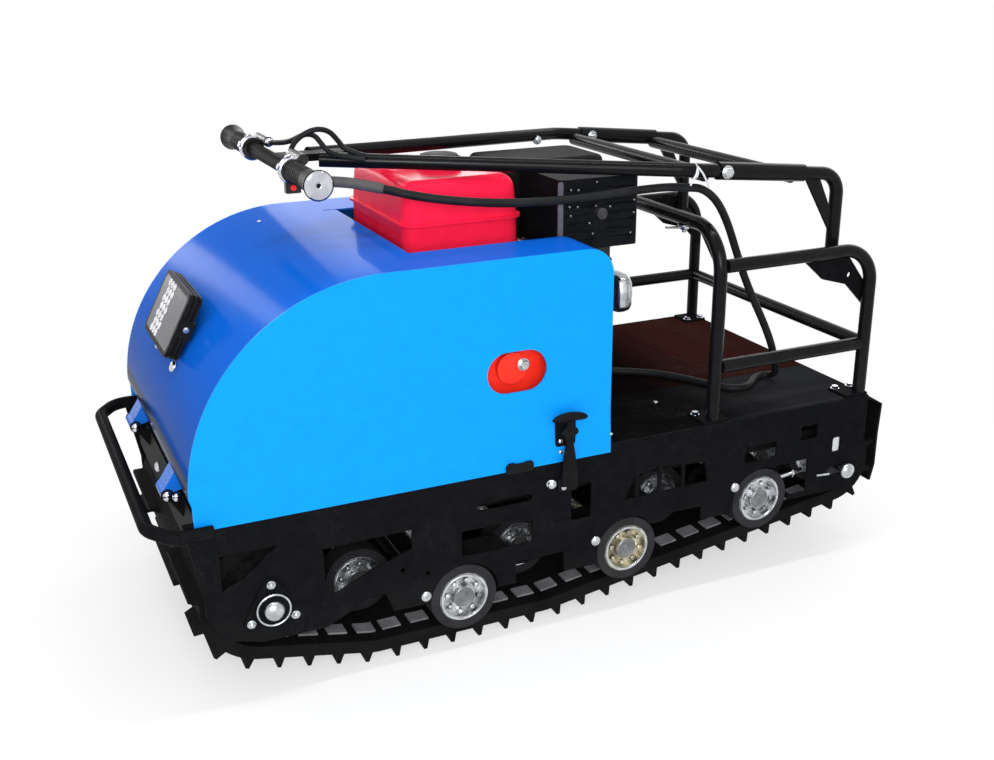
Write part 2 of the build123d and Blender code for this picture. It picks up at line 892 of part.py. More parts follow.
# Muffler can with its outlet, under a louvred guard that stands on the cylinder head
muffler_x = crank_x - muffler_behind
muffler_left = cut_half - muffler_clear
muffler_y = muffler_left - muffler_width / 2
can_level = deck_level + (head_top + muffler_top) / 2
with BuildPart() as muffler_guard:
    with BuildSketch(Plane.XY.offset(deck_level + head_top)):
        with Locations((muffler_x, muffler_y)):
            RectangleRounded(muffler_length, muffler_width, muffler_corner)
    extrude(amount=muffler_top - head_top)
    with BuildSketch(Plane.XY.offset(deck_level + head_top)):
        with Locations((muffler_x, muffler_y)):
            RectangleRounded(
                muffler_length - 2 * guard_sheet,
                muffler_width - 2 * guard_sheet,
                muffler_corner - guard_sheet,
            )
    extrude(amount=muffler_top - head_top - guard_sheet, mode=Mode.SUBTRACT)
    with BuildSketch(at_side(muffler_left)):
        with Locations((muffler_x, can_level)):
            with GridLocations(muffler_length / 2, louvre_pitch, 2, louvre_count):
                SlotOverall(louvre_length, louvre_height)
            Circle(outlet_radius + guard_sheet)
    extrude(amount=guard_sheet, mode=Mode.SUBTRACT)
finish(muffler_guard, "muffler_guard")

with BuildPart() as muffler_can:
    with BuildSketch(Plane.YZ.offset(muffler_x - muffler_length / 2 + can_end_gap)):
        with Locations((muffler_y, can_level)):
            Circle(can_radius)
    extrude(amount=muffler_length - 2 * can_end_gap)
    with BuildSketch(Plane.XY.offset(deck_level + head_top)):
        with Locations((muffler_x, muffler_y)):
            Rectangle(seat_size, seat_size / 2)
    extrude(amount=(muffler_top - head_top) / 2)
    with BuildSketch(at_side(muffler_left + outlet_reach)):
        with Locations((muffler_x, can_level)):
            Circle(outlet_radius)
    extrude(amount=muffler_width / 2)
finish(muffler_can, "muffler_can")

cleaner_x = crank_x - cleaner_behind
cleaner_y = muffler_left - muffler_width - cleaner_gap - cleaner_width / 2
with BuildPart() as air_cleaner:
    with BuildSketch(Plane.XY.offset(deck_level + head_top)):
        with Locations((cleaner_x, cleaner_y)):
            Rectangle(seat_size, seat_size)
    extrude(amount=cleaner_bottom - head_top)
    with BuildSketch(Plane.XY.offset(deck_level + cleaner_bottom)):
        with Locations((cleaner_x, cleaner_y)):
            RectangleRounded(
                cleaner_length - 2 * cleaner_step,
                cleaner_width - 2 * cleaner_step,
                cleaner_corner,
            )
    extrude(amount=cleaner_lid - cleaner_bottom)
    with BuildSketch(Plane.XY.offset(deck_level + cleaner_lid)):
        with Locations((cleaner_x, cleaner_y)):
            RectangleRounded(cleaner_length, cleaner_width, cleaner_corner)
    extrude(amount=cleaner_top - cleaner_lid)
    fillet(air_cleaner.faces().sort_by(Axis.Z)[-1].edges(), 2 * cleaner_step)
finish(air_cleaner, "air_cleaner")

# Rack: front hoop with gussets, bent side tubes, middle rails and the lever's pivot plates
hoop_level = deck_level + hoop_rise
upper_level = deck_level + upper_rail_rise
mid_level = deck_level + mid_rail_rise
foot_top = deck_level + foot_thick
rail_butt = tube_radius + fit_gap
with BuildPart() as rack_hoop:
    rod(((post_x, rack_line, foot_top), (post_x, rack_line, hoop_level),
         (post_x, -rack_line, hoop_level), (post_x, -rack_line, foot_top)),
        tube_radius, hoop_bend)
    with BuildSketch(Plane.YZ.offset(post_x - gusset_thick / 2)):
        with BuildLine():
            Line((rack_line, hoop_level - hoop_bend), (rack_line - hoop_bend, hoop_level))
            CenterArc((rack_line - hoop_bend, hoop_level - hoop_bend), hoop_bend, 0, 90)
        make_face()
        mirror(about=Plane.YZ)
    extrude(amount=gusset_thick)
finish(rack_hoop, "rack_hoop")

with BuildPart() as rack_side_left:
    rod(((rear_post_x, rack_line, foot_top), (rear_post_x, rack_line, upper_level),
         (post_x - rail_butt, rack_line, upper_level)),
        tube_radius, rack_bend)
finish(rack_side_left, "rack_side_left")

with BuildPart() as rack_side_right:
    mirror(rack_side_left.part, about=Plane.XZ)
finish(rack_side_right, "rack_side_right")

with BuildPart() as rack_mid_rails:
    for line in (rack_line, -rack_line):
        rod(((rear_post_x + rail_butt, line, mid_level), (post_x - rail_butt, line, mid_level)), tube_radius)
    rail_end = rack_line - rail_butt
    rod(((rear_post_x, rail_end, mid_level), (rear_post_x, -rail_end, mid_level)), tube_radius)
finish(rack_mid_rails, "rack_mid_rails")

pivot_plate_face = rack_line - tube_radius - fit_gap
boss_half = tube_radius + boss_lap
leg_line = pivot_plate_face - pivot_plate - lever_gap - boss_half
pivot_plate_edge = (
    # distance ahead of the pivot, height above the upper rail
    (-58, -100),
    (-20, -62),
    (30, -48),
    (76, -8),
    (76, 4),
    (-6, 4),
    (-58, -62),
)
with BuildPart() as pivot_plates:
    with BuildSketch(at_side(pivot_plate_face)):
        with BuildLine():
            Polyline(*[(pivot_x + ahead, upper_level + up) for ahead, up in pivot_plate_edge], close=True)
        make_face()
        with Locations((pivot_x - lock_back, pivot_level - lock_drop)):
            Circle(lock_hole, mode=Mode.SUBTRACT)
    extrude(amount=pivot_plate)
    with BuildSketch(at_side(pivot_plate_face)):
        with Locations((pivot_x, pivot_level)):
            Circle(pivot_pin)
    extrude(amount=pivot_plate_face - leg_line + boss_half + pivot_tail)
    mirror(about=Plane.XZ)
finish(pivot_plates, "pivot_plates")

# Tow lever: bent legs with braces, sleeves, arms, cross bars, handlebar and grips
elbow_level = deck_level + lever_elbow_rise
sleeve_level = deck_level + sleeve_front_rise
arm_level = deck_level + arm_front_rise
sleeve_slope = (sleeve_level - elbow_level) / (sleeve_front - pivot_x)


def sleeve_height(x):
    """Height of the sleeve's axis, which runs straight on from the leg's elbow."""
    return elbow_level + (x - pivot_x) * sleeve_slope


with BuildPart() as lever_legs:
    rod(((pivot_x, leg_line, pivot_level), (pivot_x, leg_line, elbow_level),
         (sleeve_rear, leg_line, sleeve_height(sleeve_rear))),
        tube_radius, lever_elbow_bend)
    with BuildSketch(at_side(leg_line + boss_half)):
        with Locations((pivot_x, pivot_level)):
            Circle(boss_radius)
    extrude(amount=2 * boss_half)
    with BuildSketch(at_side(leg_line + brace_thick / 2)):
        with BuildLine():
            Polyline(
                (pivot_x, elbow_level - brace_drop),
                (pivot_x, elbow_level - brace_drop + brace_width),
                (sleeve_rear - brace_width, sleeve_height(sleeve_rear - brace_width)),
                (sleeve_rear, sleeve_height(sleeve_rear)),
                close=True,
            )
        make_face()
    extrude(amount=brace_thick)
    with BuildSketch(at_side(leg_line + boss_half)):
        with Locations((pivot_x, pivot_level)):
            Circle(pivot_pin + hinge_play)
    extrude(amount=2 * boss_half, mode=Mode.SUBTRACT)
    mirror(about=Plane.XZ)
finish(lever_legs, "lever_legs")

with BuildPart() as lever_sleeves:
    rod(
        ((sleeve_rear, leg_line, sleeve_height(sleeve_rear)),
         (sleeve_front, leg_line, sleeve_level)),
        sleeve_radius,
    )
    mirror(about=Plane.XZ)
finish(lever_sleeves, "lever_sleeves")

crossbars = (
    # x, radius of the tube it butts on
    (sleeve_rear + tube_radius, sleeve_radius),
    (sleeve_front + crossbar_ahead, tube_radius),
)
with BuildPart() as lever_crossbar:
    for x, butt in crossbars:
        end = leg_line - butt - fit_gap
        level = sleeve_height(x) - crossbar_drop
        rod(((x, end, level), (x, -end, level)), tube_radius)
finish(lever_crossbar, "lever_crossbar")

arm_knee = sleeve_front + arm_straight
with BuildPart() as lever_arms:
    rod(((sleeve_front, leg_line, sleeve_level), (arm_knee, leg_line, sleeve_height(arm_knee)),
         (arm_front, arm_front_line, arm_level)),
        tube_radius, arm_bend)
    mirror(about=Plane.XZ)
finish(lever_arms, "lever_arms")

stem_width = 2 * (arm_front_line - tube_radius - fit_gap)
with BuildPart() as handlebar:
    rod(((bar_x, bar_half, bar_level), (bar_x, -bar_half, bar_level)), tube_radius)
    with BuildSketch(Plane.XY.offset(bar_level - tube_radius / 2)):
        with Locations((bar_x, 0)):
            Rectangle(stem_length + stem_lap, stem_width, align=(Align.MAX, Align.CENTER))
    extrude(amount=tube_radius)
finish(handlebar, "handlebar")

grip_bore = bar_x + tube_radius + fit_gap
grip_root = bar_half - grip_length
with BuildPart() as grips:
    with BuildSketch(Plane.YX.offset(-bar_level)):
        with BuildLine():
            Polyline(
                (grip_root, grip_bore),
                (grip_root, bar_x + grip_collar),
                (grip_root + grip_collar, bar_x + grip_radius),
                (bar_half - grip_taper, bar_x + grip_radius),
                (bar_half, bar_x + grip_flare),
                (bar_half, grip_bore),
                close=True,
            )
        make_face()
    revolve(axis=Axis((bar_x, 0, bar_level), (0, 1, 0)))
    mirror(about=Plane.XZ)
finish(grips, "grips")

# Clamps beside the grips with barrels for the cables, and a stop switch under the left one
clamp_width = 18
clamp_radius = 17
clamp_gap = 4
clamp_line = grip_root - clamp_gap - clamp_width / 2
barrel_radius = 8
barrel_length = 60
barrel_behind = 15
switch_length = 22
switch_height = 20
with BuildPart() as hand_controls:
    with BuildSketch(at_side(clamp_line + clamp_width / 2)):
        with Locations((bar_x, bar_level)):
            Circle(clamp_radius)
            Circle(tube_radius + fit_gap, mode=Mode.SUBTRACT)
    extrude(amount=clamp_width)
    with BuildSketch(at_side(clamp_line + clamp_width / 2)):
        with Locations((bar_x - barrel_behind, bar_level + barrel_behind)):
            Circle(barrel_radius)
    extrude(amount=barrel_length)
    mirror(about=Plane.XZ)
    with BuildSketch(Plane.XY.offset(bar_level - tube_radius - fit_gap)):
        with Locations((bar_x, clamp_line)):
            RectangleRounded(switch_length, clamp_width, window_corner)
    extrude(amount=-switch_height)
finish(hand_controls, "hand_controls")

# Cords: the harness along the lever and down to the engine, and the two hand controls' cables
bend_share = 0.45
harness_radius = 6.5
cable_radius = 4
lever_route = (
    (345, 96, 716), (293, 100, 714), (240, 120, 703), (190, 148, 690), (132, 166, 681), (72, 178, 675),
    (10, 185, 672), (-52, 190, 673), (-110, 195, 676), (-165, 202, 680), (-205, 207, 681), (-236, 211, 678),
)
deck_route = (
    (-236.4, 211.05, 677.96), (-261, 214.2, 675.6), (-296, 205, 652), (-325, 196, 612), (-347, 191, 566),
    (-368, 188, 520), (-391, 187, 476), (-414, 188, 434), (-436, 186, 392), (-456, 176, 352),
    (-474, 158, 322), (-480, 137, 309), (-464, 126, 307.2), (-441, 138, 307), (-420, 160, 307.2),
    (-394, 170, 307), (-369, 154, 307.2), (-350, 118, 307), (-330, 76, 307.2), (-301, 36, 307),
    (-262, 6, 307.2), (-215, -20, 307), (-160, -36, 307.2), (-105, -44, 307), (-51.4, -46, 307.2),
)
left_cable_route = (
    (350, 65.7, 752), (350, 54, 752), (340, 57, 771), (314, 60, 785), (290, 56, 781),
    (275, 54, 764), (266, 58, 749), (236, 68, 740.5),
)
right_cable_route = (
    (350, -65.7, 752), (350, -54, 752), (334, -6, 758), (321, 34, 775), (308, 46, 774),
    (299, 52, 759), (290, 59, 747), (268, 72, 741.5), (244, 80, 738),
)


def cord_tube(name, points, radius):
    """Tube along a cord's route, each bend as wide as its two runs allow."""
    runs = [Vector(*after) - Vector(*before) for before, after in zip(points, points[1:])]
    radii = []
    for before, after in zip(runs, runs[1:]):
        half_turn = radians(before.get_angle(after)) / 2
        radii.append(bend_share * min(before.length, after.length) / tan(half_turn))
    print(name, "bend radii", [round(bend) for bend in radii])
    with BuildLine() as route:
        FilletPolyline(*points, radius=radii)
    with BuildSketch(Plane(origin=route.line @ 0, z_dir=route.line % 0)) as section:
        Circle(radius)
    sweep(section.sketch, path=route.line)


with BuildPart() as harness_lever:
    cord_tube("harness_lever", lever_route, harness_radius)
finish(harness_lever, "harness_lever")

with BuildPart() as harness_deck:
    cord_tube("harness_deck", deck_route, harness_radius)
finish(harness_deck, "harness_deck")

with BuildPart() as control_cables:
    cord_tube("left cable", left_cable_route, cable_radius)
    cord_tube("right cable", right_cable_route, cable_radius)
finish(control_cables, "control_cables")

# Rubber latches on the side plates, in front of keepers on the hood's sides
latch_ahead = 80
strap_width = 14
strap_length = 118
strap_thick = 8
strap_stand = 8
handle_length = 50
handle_height = 14
handle_behind = 8
bracket_length = 72
bracket_height = 24
bracket_behind = 20
keeper_thick = 4
keeper_width = 34
keeper_height = 42
keeper_rise = 8
latch_x = hood_rear + latch_ahead
latch_line = frame_width / 2 + strap_stand + strap_thick
with BuildPart() as hood_keepers:
    with BuildSketch(at_side(hood_half + keeper_thick)):
        with Locations((latch_x, hood_floor + keeper_rise + keeper_height / 2)):
            RectangleRounded(keeper_width, keeper_height, window_corner)
    extrude(amount=keeper_thick)
    mirror(about=Plane.XZ)
finish(hood_keepers, "hood_keepers")

with BuildPart() as latches:
    with BuildSketch(at_side(latch_line)):
        with Locations((latch_x, deck_level)):
            Rectangle(strap_width, strap_length)
        with Locations((latch_x - handle_behind, deck_level + strap_length / 2)):
            RectangleRounded(handle_length, handle_height, handle_height / 2 - fit_gap)
    extrude(amount=strap_thick)
    with BuildSketch(at_side(latch_line)):
        with Locations((latch_x - bracket_behind, deck_level + bracket_height / 4 - strap_length / 2)):
            RectangleRounded(bracket_length, bracket_height, window_corner)
    extrude(amount=latch_line - frame_width / 2)
    mirror(about=Plane.XZ)
finish(latches, "latches")

# Work lamp on the hood's front curve: finned housing, sunk lens, and a strap bent round its ends
lamp_angle = 39
lamp_tilt = 28
lamp_width = 176
lamp_height = 100
lamp_corner = 12
lamp_seat = 8
fin_count = 2
fin_thick = 4
fin_gap = 3
fin_depth = 4
bezel_depth = 6
lens_inset = 7
lens_thick = 3
strap_sheet = 3
strap_band = 26

def leaning(angle):
    """Forward direction raised by an angle."""
    return Vector(cos(radians(angle)), 0, sin(radians(angle)))


lamp_spot = Vector(hood_arc_x, 0, hood_arc_z) + hood_radius * leaning(lamp_angle)
foot_plane = Plane(origin=lamp_spot, x_dir=(0, 1, 0), z_dir=leaning(lamp_angle))
lamp_plane = Plane(origin=lamp_spot, x_dir=(0, 1, 0), z_dir=leaning(lamp_tilt))
lens_width = lamp_width - 2 * lens_inset
lens_height = lamp_height - 2 * lens_inset
lamp_back = lamp_seat + strap_sheet
bezel_back = lamp_back + fin_count * (fin_thick + fin_gap)
lamp_face = bezel_back + bezel_depth
strap_end = lamp_width / 2 + fit_gap + strap_sheet
with BuildPart() as headlamp_body:
    with BuildSketch(lamp_plane.offset(lamp_back)):
        RectangleRounded(lamp_width - 2 * fin_depth, lamp_height - 2 * fin_depth, lamp_corner - fin_depth)
    extrude(amount=bezel_back - lamp_back)
    for fin in range(fin_count):
        with BuildSketch(lamp_plane.offset(lamp_back + fin * (fin_thick + fin_gap))):
            RectangleRounded(lamp_width, lamp_height, lamp_corner)
        extrude(amount=fin_thick)
    with BuildSketch(lamp_plane.offset(bezel_back)):
        RectangleRounded(lamp_width, lamp_height, lamp_corner)
    extrude(amount=bezel_depth)
    with BuildSketch(lamp_plane.offset(lamp_face - lens_thick)):
        RectangleRounded(lens_width, lens_height, lamp_corner - fin_depth)
    extrude(amount=lens_thick, mode=Mode.SUBTRACT)
    with BuildSketch(lamp_plane.offset(lamp_seat)):
        Rectangle(2 * strap_end, strap_band)
    extrude(amount=strap_sheet)
    with BuildSketch(lamp_plane.offset(lamp_seat)):
        for side in (1, -1):
            with Locations((side * (strap_end - strap_sheet / 2), 0)):
                Rectangle(strap_sheet, strap_band)
    extrude(amount=(bezel_back + lamp_face) / 2 - lamp_seat)
    with BuildSketch(foot_plane.offset(fit_gap)):
        Circle(strap_band / 2)
    extrude(amount=lamp_back - fit_gap)
finish(headlamp_body, "headlamp_body")

with BuildPart() as headlamp_lens:
    with BuildSketch(lamp_plane.offset(lamp_face - lens_thick)):
        RectangleRounded(
            lens_width - 2 * fit_gap,
            lens_height - 2 * fit_gap,
            lamp_corner - fin_depth - fit_gap,
        )
    extrude(amount=lens_thick)
finish(headlamp_lens, "headlamp_lens")
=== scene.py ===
"""Looks of the tracked snow tug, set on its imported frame. Metres; X forward, Y left, Z up from the ground."""
import json
import math

import bmesh
import bpy
import numpy as np
from mathutils import Matrix


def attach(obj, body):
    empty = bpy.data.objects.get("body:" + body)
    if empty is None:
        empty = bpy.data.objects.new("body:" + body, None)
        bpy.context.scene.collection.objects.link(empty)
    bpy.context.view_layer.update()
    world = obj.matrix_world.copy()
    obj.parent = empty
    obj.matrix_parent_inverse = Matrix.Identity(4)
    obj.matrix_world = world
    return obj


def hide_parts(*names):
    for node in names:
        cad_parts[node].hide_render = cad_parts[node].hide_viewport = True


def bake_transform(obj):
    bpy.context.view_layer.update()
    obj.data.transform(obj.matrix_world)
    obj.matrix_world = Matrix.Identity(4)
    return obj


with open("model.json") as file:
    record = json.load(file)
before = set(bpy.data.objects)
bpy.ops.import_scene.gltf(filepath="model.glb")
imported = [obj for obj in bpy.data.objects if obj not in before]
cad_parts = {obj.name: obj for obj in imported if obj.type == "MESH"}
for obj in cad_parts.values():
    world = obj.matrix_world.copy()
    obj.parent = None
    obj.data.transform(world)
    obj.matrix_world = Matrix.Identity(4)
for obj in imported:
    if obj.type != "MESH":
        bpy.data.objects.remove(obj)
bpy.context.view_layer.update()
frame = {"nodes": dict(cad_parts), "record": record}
nodes = frame["nodes"]
scene = bpy.context.scene
MM = 0.001

# Camera at the photograph's viewpoint, for a 994 by 760 frame
CAMERA_PLACE = (0.797, 1.763, 1.020)
CAMERA_YAW = math.radians(65.58)
CAMERA_PITCH = math.radians(19.65)
CAMERA_ROLL = math.radians(-0.46)
CAMERA_LENS = 43.06


def aim_camera():
    """Camera axes: view direction from yaw and pitch, then right and up turned by the roll."""
    level = math.cos(CAMERA_PITCH)
    look = -np.array((math.cos(CAMERA_YAW) * level, math.sin(CAMERA_YAW) * level, math.sin(CAMERA_PITCH)))
    right = np.cross(look, (0, 0, 1))
    right /= np.linalg.norm(right)
    up = np.cross(right, look)
    right, up = (math.cos(CAMERA_ROLL) * right + math.sin(CAMERA_ROLL) * up,
                 math.cos(CAMERA_ROLL) * up - math.sin(CAMERA_ROLL) * right)
    data = bpy.data.cameras.new("photo_view")
    data.sensor_fit = "HORIZONTAL"
    data.sensor_width = 36
    data.lens = CAMERA_LENS
    camera = bpy.data.objects.new("photo_view", data)
    matrix = np.eye(4)
    matrix[:3, :3] = np.stack([right, up, -look], 1)
    matrix[:3, 3] = CAMERA_PLACE
    camera.matrix_world = Matrix(matrix.tolist())
    scene.collection.objects.link(camera)
    scene.camera = camera


aim_camera()

# Shapes: arrays of points with lists of faces


def grid_faces(rows, cols, close_cols=True):
    """Quads of a grid of rows by cols points, joined round across the columns where asked."""
    r = np.arange(rows - 1)[:, None] * cols
    c = np.arange(cols if close_cols else cols - 1)
    nxt = (c + 1) % cols
    return np.stack([r + c, r + nxt, r + cols + nxt, r + cols + c], -1).reshape(-1, 4)


def closed_rings(rings):
    """Tube through rings of points in metres, with each end closed to its ring's centre."""
    rows, sides, _ = rings.shape
    first, last = (np.repeat(rings[end].mean(0)[None, None], sides, 1) for end in (0, -1))
    return np.concatenate([first, rings, last]).reshape(-1, 3), grid_faces(rows + 2, sides)


def turned(profile, sides=24):
    """Profile of (radius, height) in mm turned round Z: point = (r cos t, r sin t, h)."""
    radius, height = np.array(profile, float).T * MM
    t = np.linspace(0, math.tau, sides, endpoint=False)
    points = np.stack([np.outer(radius, np.cos(t)), np.outer(radius, np.sin(t)),
                       np.repeat(height[:, None], sides, 1)], -1)
    return points.reshape(-1, 3), grid_faces(len(radius), sides)


def carried(path, section, reference, scale=None):
    """Section of (across, up) points in mm carried along a path in mm: point = path + a*across + u*up.

    Across is reference x tangent, up is tangent x across. Both ends close to a point.
    """
    path = np.array(path, float) * MM
    section = np.array(section, float) * MM
    tangent = np.gradient(path, axis=0)
    tangent /= np.linalg.norm(tangent, axis=1, keepdims=True)
    across = np.cross(reference, tangent)
    across /= np.linalg.norm(across, axis=1, keepdims=True)
    up = np.cross(tangent, across)
    scale = np.ones(len(path)) if scale is None else np.array(scale, float)
    offset = section[None, :, :1] * across[:, None] + section[None, :, 1:] * up[:, None]
    rings = path[:, None] + scale[:, None, None] * offset
    return closed_rings(rings)


def circle(radius, sides=12):
    """Points (r cos t, r sin t) round a circle."""
    t = np.linspace(0, math.tau, sides, endpoint=False)
    return np.stack([radius * np.cos(t), radius * np.sin(t)], 1)


def bent(value, power):
    """A sine or cosine raised to a power with its sign kept, which squares off a circle."""
    return np.sign(value) * np.abs(value) ** power


def block(length, width, height, power=0.25, rows=9, cols=24):
    """Rounded block in mm: x = a C(v) C(u), y = b C(v) S(u), z = c S(v), with C and S bent by the power."""
    u = np.linspace(0, math.tau, cols, endpoint=False)
    v = np.linspace(-math.pi / 2, math.pi / 2, rows)[:, None]
    level = bent(np.cos(v), power)
    x = length / 2 * level * bent(np.cos(u), power)
    y = width / 2 * level * bent(np.sin(u), power)
    z = height / 2 * bent(np.sin(v), power)
    points = np.stack(np.broadcast_arrays(x, y, z), -1) * MM
    return points.reshape(-1, 3), grid_faces(rows, cols)


def joined(*shapes):
    """Several shapes as one."""
    points, faces = zip(*shapes)
    starts = np.cumsum([0, *map(len, points[:-1])])
    return np.concatenate(points), np.concatenate([part + start for part, start in zip(faces, starts)])


def placed(shape, places):
    """Copies of a shape: each place is (x, y, z in mm, axis, scale); the shape's Z goes along the axis."""
    points, faces = shape
    origin = np.array([place[:3] for place in places], float) * MM
    z = np.array([place[3] for place in places], float)
    scale = np.array([place[4] for place in places], float)
    z /= np.linalg.norm(z, axis=1, keepdims=True)
    reference = np.where(np.abs(z[:, 2:]) > 0.9, [[0, 1.0, 0]], [[0, 0, 1.0]])
    x = np.cross(reference, z)
    x /= np.linalg.norm(x, axis=1, keepdims=True)
    turn = np.stack([x, np.cross(z, x), z], -1)
    moved = np.einsum("nij,pj->npi", turn, points) * scale[:, None, None] + origin[:, None]
    starts = np.arange(len(places))[:, None, None] * len(points)
    return moved.reshape(-1, 3), (faces + starts).reshape(-1, 4)


def piece(name, shape, material, body, crease=35):
    """Mesh object from a shape, poles merged, faces turned outwards, riding on a body."""
    points, faces = shape
    mesh = bpy.data.meshes.new(name)
    mesh.from_pydata(points.tolist(), [], faces.tolist())
    work = bmesh.new()
    work.from_mesh(mesh)
    bmesh.ops.remove_doubles(work, verts=work.verts, dist=1e-6)
    bmesh.ops.recalc_face_normals(work, faces=work.faces)
    work.to_mesh(mesh)
    work.free()
    mesh.shade_smooth()
    mesh.set_sharp_from_angle(angle=math.radians(crease))
    obj = bpy.data.objects.new(name, mesh)
    scene.collection.objects.link(obj)
    mesh.materials.append(material)
    if body:
        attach(obj, body)
    return obj


# Shader groups: effects that several finishes share


def new_group(name, inputs, outputs):
    """Empty node group with float inputs at their defaults, and float outputs."""
    tree = bpy.data.node_groups.new(name, "ShaderNodeTree")
    for label, value in inputs.items():
        tree.interface.new_socket(label, in_out="INPUT", socket_type="NodeSocketFloat").default_value = value
    for label in outputs:
        tree.interface.new_socket(label, in_out="OUTPUT", socket_type="NodeSocketFloat")
    return tree, tree.nodes.new("NodeGroupInput"), tree.nodes.new("NodeGroupOutput")


def feed(tree, socket, value):
    """Link a socket, or set it to a plain value."""
    if isinstance(value, bpy.types.NodeSocket):
        tree.links.new(value, socket)
    else:
        socket.default_value = value


def sums(tree, operation, a, b=0.0, clamp=False):
    """Math node; returns its result."""
    node = tree.nodes.new("ShaderNodeMath")
    node.operation = operation
    node.use_clamp = clamp
    feed(tree, node.inputs[0], a)
    feed(tree, node.inputs[1], b)
    return node.outputs[0]


def span(tree, value, low, high, to_low=0.0, to_high=1.0):
    """Clamped change of range; returns its result."""
    node = tree.nodes.new("ShaderNodeMapRange")
    node.interpolation_type = "SMOOTHSTEP"
    for index, part in enumerate((value, low, high, to_low, to_high)):
        feed(tree, node.inputs[index], part)
    return node.outputs[0]


def noise(tree, vector, scale, detail=4.0):
    """Fractal noise value."""
    node = tree.nodes.new("ShaderNodeTexNoise")
    node.inputs["Detail"].default_value = detail
    feed(tree, node.inputs["Vector"], vector)
    feed(tree, node.inputs["Scale"], scale)
    return node.outputs["Fac"]


def object_place(tree, stretch=None):
    """Object coordinates, stretched where asked."""
    place = tree.nodes.new("ShaderNodeTexCoord").outputs["Object"]
    if stretch is None:
        return place
    mapping = tree.nodes.new("ShaderNodeMapping")
    mapping.inputs["Scale"].default_value = stretch
    tree.links.new(place, mapping.inputs["Vector"])
    return mapping.outputs["Vector"]


def part_of(tree, vector, axis):
    """One coordinate of a vector."""
    node = tree.nodes.new("ShaderNodeSeparateXYZ")
    tree.links.new(vector, node.inputs[0])
    return node.outputs[axis]


def make_grain():
    """Fine Value from two noises, 0 to 1, and Broad cloudiness at a twelfth of the scale."""
    tree, given, out = new_group("fine_grain", {"Scale": 400.0}, ("Value", "Broad"))
    place = object_place(tree)
    fine = noise(tree, place, given.outputs["Scale"], 3.0)
    broad = noise(tree, place, sums(tree, "DIVIDE", given.outputs["Scale"], 12.0), 2.0)
    tree.links.new(span(tree, fine, 0.3, 0.7), out.inputs["Value"])
    tree.links.new(span(tree, broad, 0.3, 0.7), out.inputs["Broad"])
    return tree


def make_wear():
    """Mask along convex edges: turn between the bevelled and the true normal, broken up by noise."""
    tree, given, out = new_group("worn_edges", {"Radius": 0.0015, "Breakup": 60.0, "Amount": 0.5}, ("Mask",))
    bevel = tree.nodes.new("ShaderNodeBevel")
    bevel.samples = 4
    tree.links.new(given.outputs["Radius"], bevel.inputs["Radius"])
    flat = tree.nodes.new("ShaderNodeNewGeometry")
    turn = tree.nodes.new("ShaderNodeVectorMath")
    turn.operation = "DOT_PRODUCT"
    tree.links.new(bevel.outputs[0], turn.inputs[0])
    tree.links.new(flat.outputs["Normal"], turn.inputs[1])
    edge = span(tree, sums(tree, "SUBTRACT", 1.0, turn.outputs["Value"]), 0.04, 0.22)
    broken = span(tree, noise(tree, object_place(tree), given.outputs["Breakup"]), 0.42, 0.62)
    mask = sums(tree, "MULTIPLY", sums(tree, "MULTIPLY", edge, broken), given.outputs["Amount"], True)
    tree.links.new(mask, out.inputs["Mask"])
    return tree


def make_dust():
    """Mask of dry dirt, thick at Low and gone at High above the ground, in cloudy patches."""
    tree, given, out = new_group("settled_dust", {"Low": 0.0, "High": 0.3, "Scale": 14.0, "Amount": 0.5},
                                 ("Mask",))
    place = object_place(tree)
    height = span(tree, part_of(tree, place, "Z"), given.outputs["Low"], given.outputs["High"], 1.0, 0.0)
    patch = span(tree, noise(tree, place, given.outputs["Scale"], 6.0), 0.35, 0.75)
    mask = sums(tree, "MULTIPLY", sums(tree, "MULTIPLY", height, patch), given.outputs["Amount"], True)
    tree.links.new(mask, out.inputs["Mask"])
    return tree


def make_scratches():
    """Thin random scratches: narrow ridges of two noises stretched along X and along Z."""
    tree, given, out = new_group("hair_scratches", {"Scale": 30.0, "Amount": 0.5}, ("Mask",))
    masks = []
    for stretch in ((1, 9, 14), (12, 8, 1)):
        line = noise(tree, object_place(tree, stretch), given.outputs["Scale"], 2.0)
        ridge = sums(tree, "ABSOLUTE", sums(tree, "SUBTRACT", line, 0.5))
        masks.append(span(tree, ridge, 0.0, 0.012, 1.0, 0.0))
    patch = span(tree, noise(tree, object_place(tree), 9.0, 2.0), 0.5, 0.68)
    amount = sums(tree, "MULTIPLY", patch, given.outputs["Amount"])
    mask = sums(tree, "MULTIPLY", sums(tree, "MAXIMUM", *masks), amount, True)
    tree.links.new(mask, out.inputs["Mask"])
    return tree


GRAIN, WEAR, DUST, SCRATCHES = make_grain(), make_wear(), make_dust(), make_scratches()


def use(tree, group, **values):
    """Place a group in a material with its own values."""
    node = tree.nodes.new("ShaderNodeGroup")
    node.node_tree = group
    for label, value in values.items():
        feed(tree, node.inputs[label], value)
    return node.outputs


def mixed(tree, mask, a, b):
    """Colour a where the mask is 0, b where it is 1."""
    node = tree.nodes.new("ShaderNodeMix")
    node.data_type = "RGBA"
    feed(tree, node.inputs[0], mask)
    for index, colour in ((6, a), (7, b)):
        feed(tree, node.inputs[index], colour if isinstance(colour, bpy.types.NodeSocket) else (*colour, 1.0))
    return node.outputs[2]


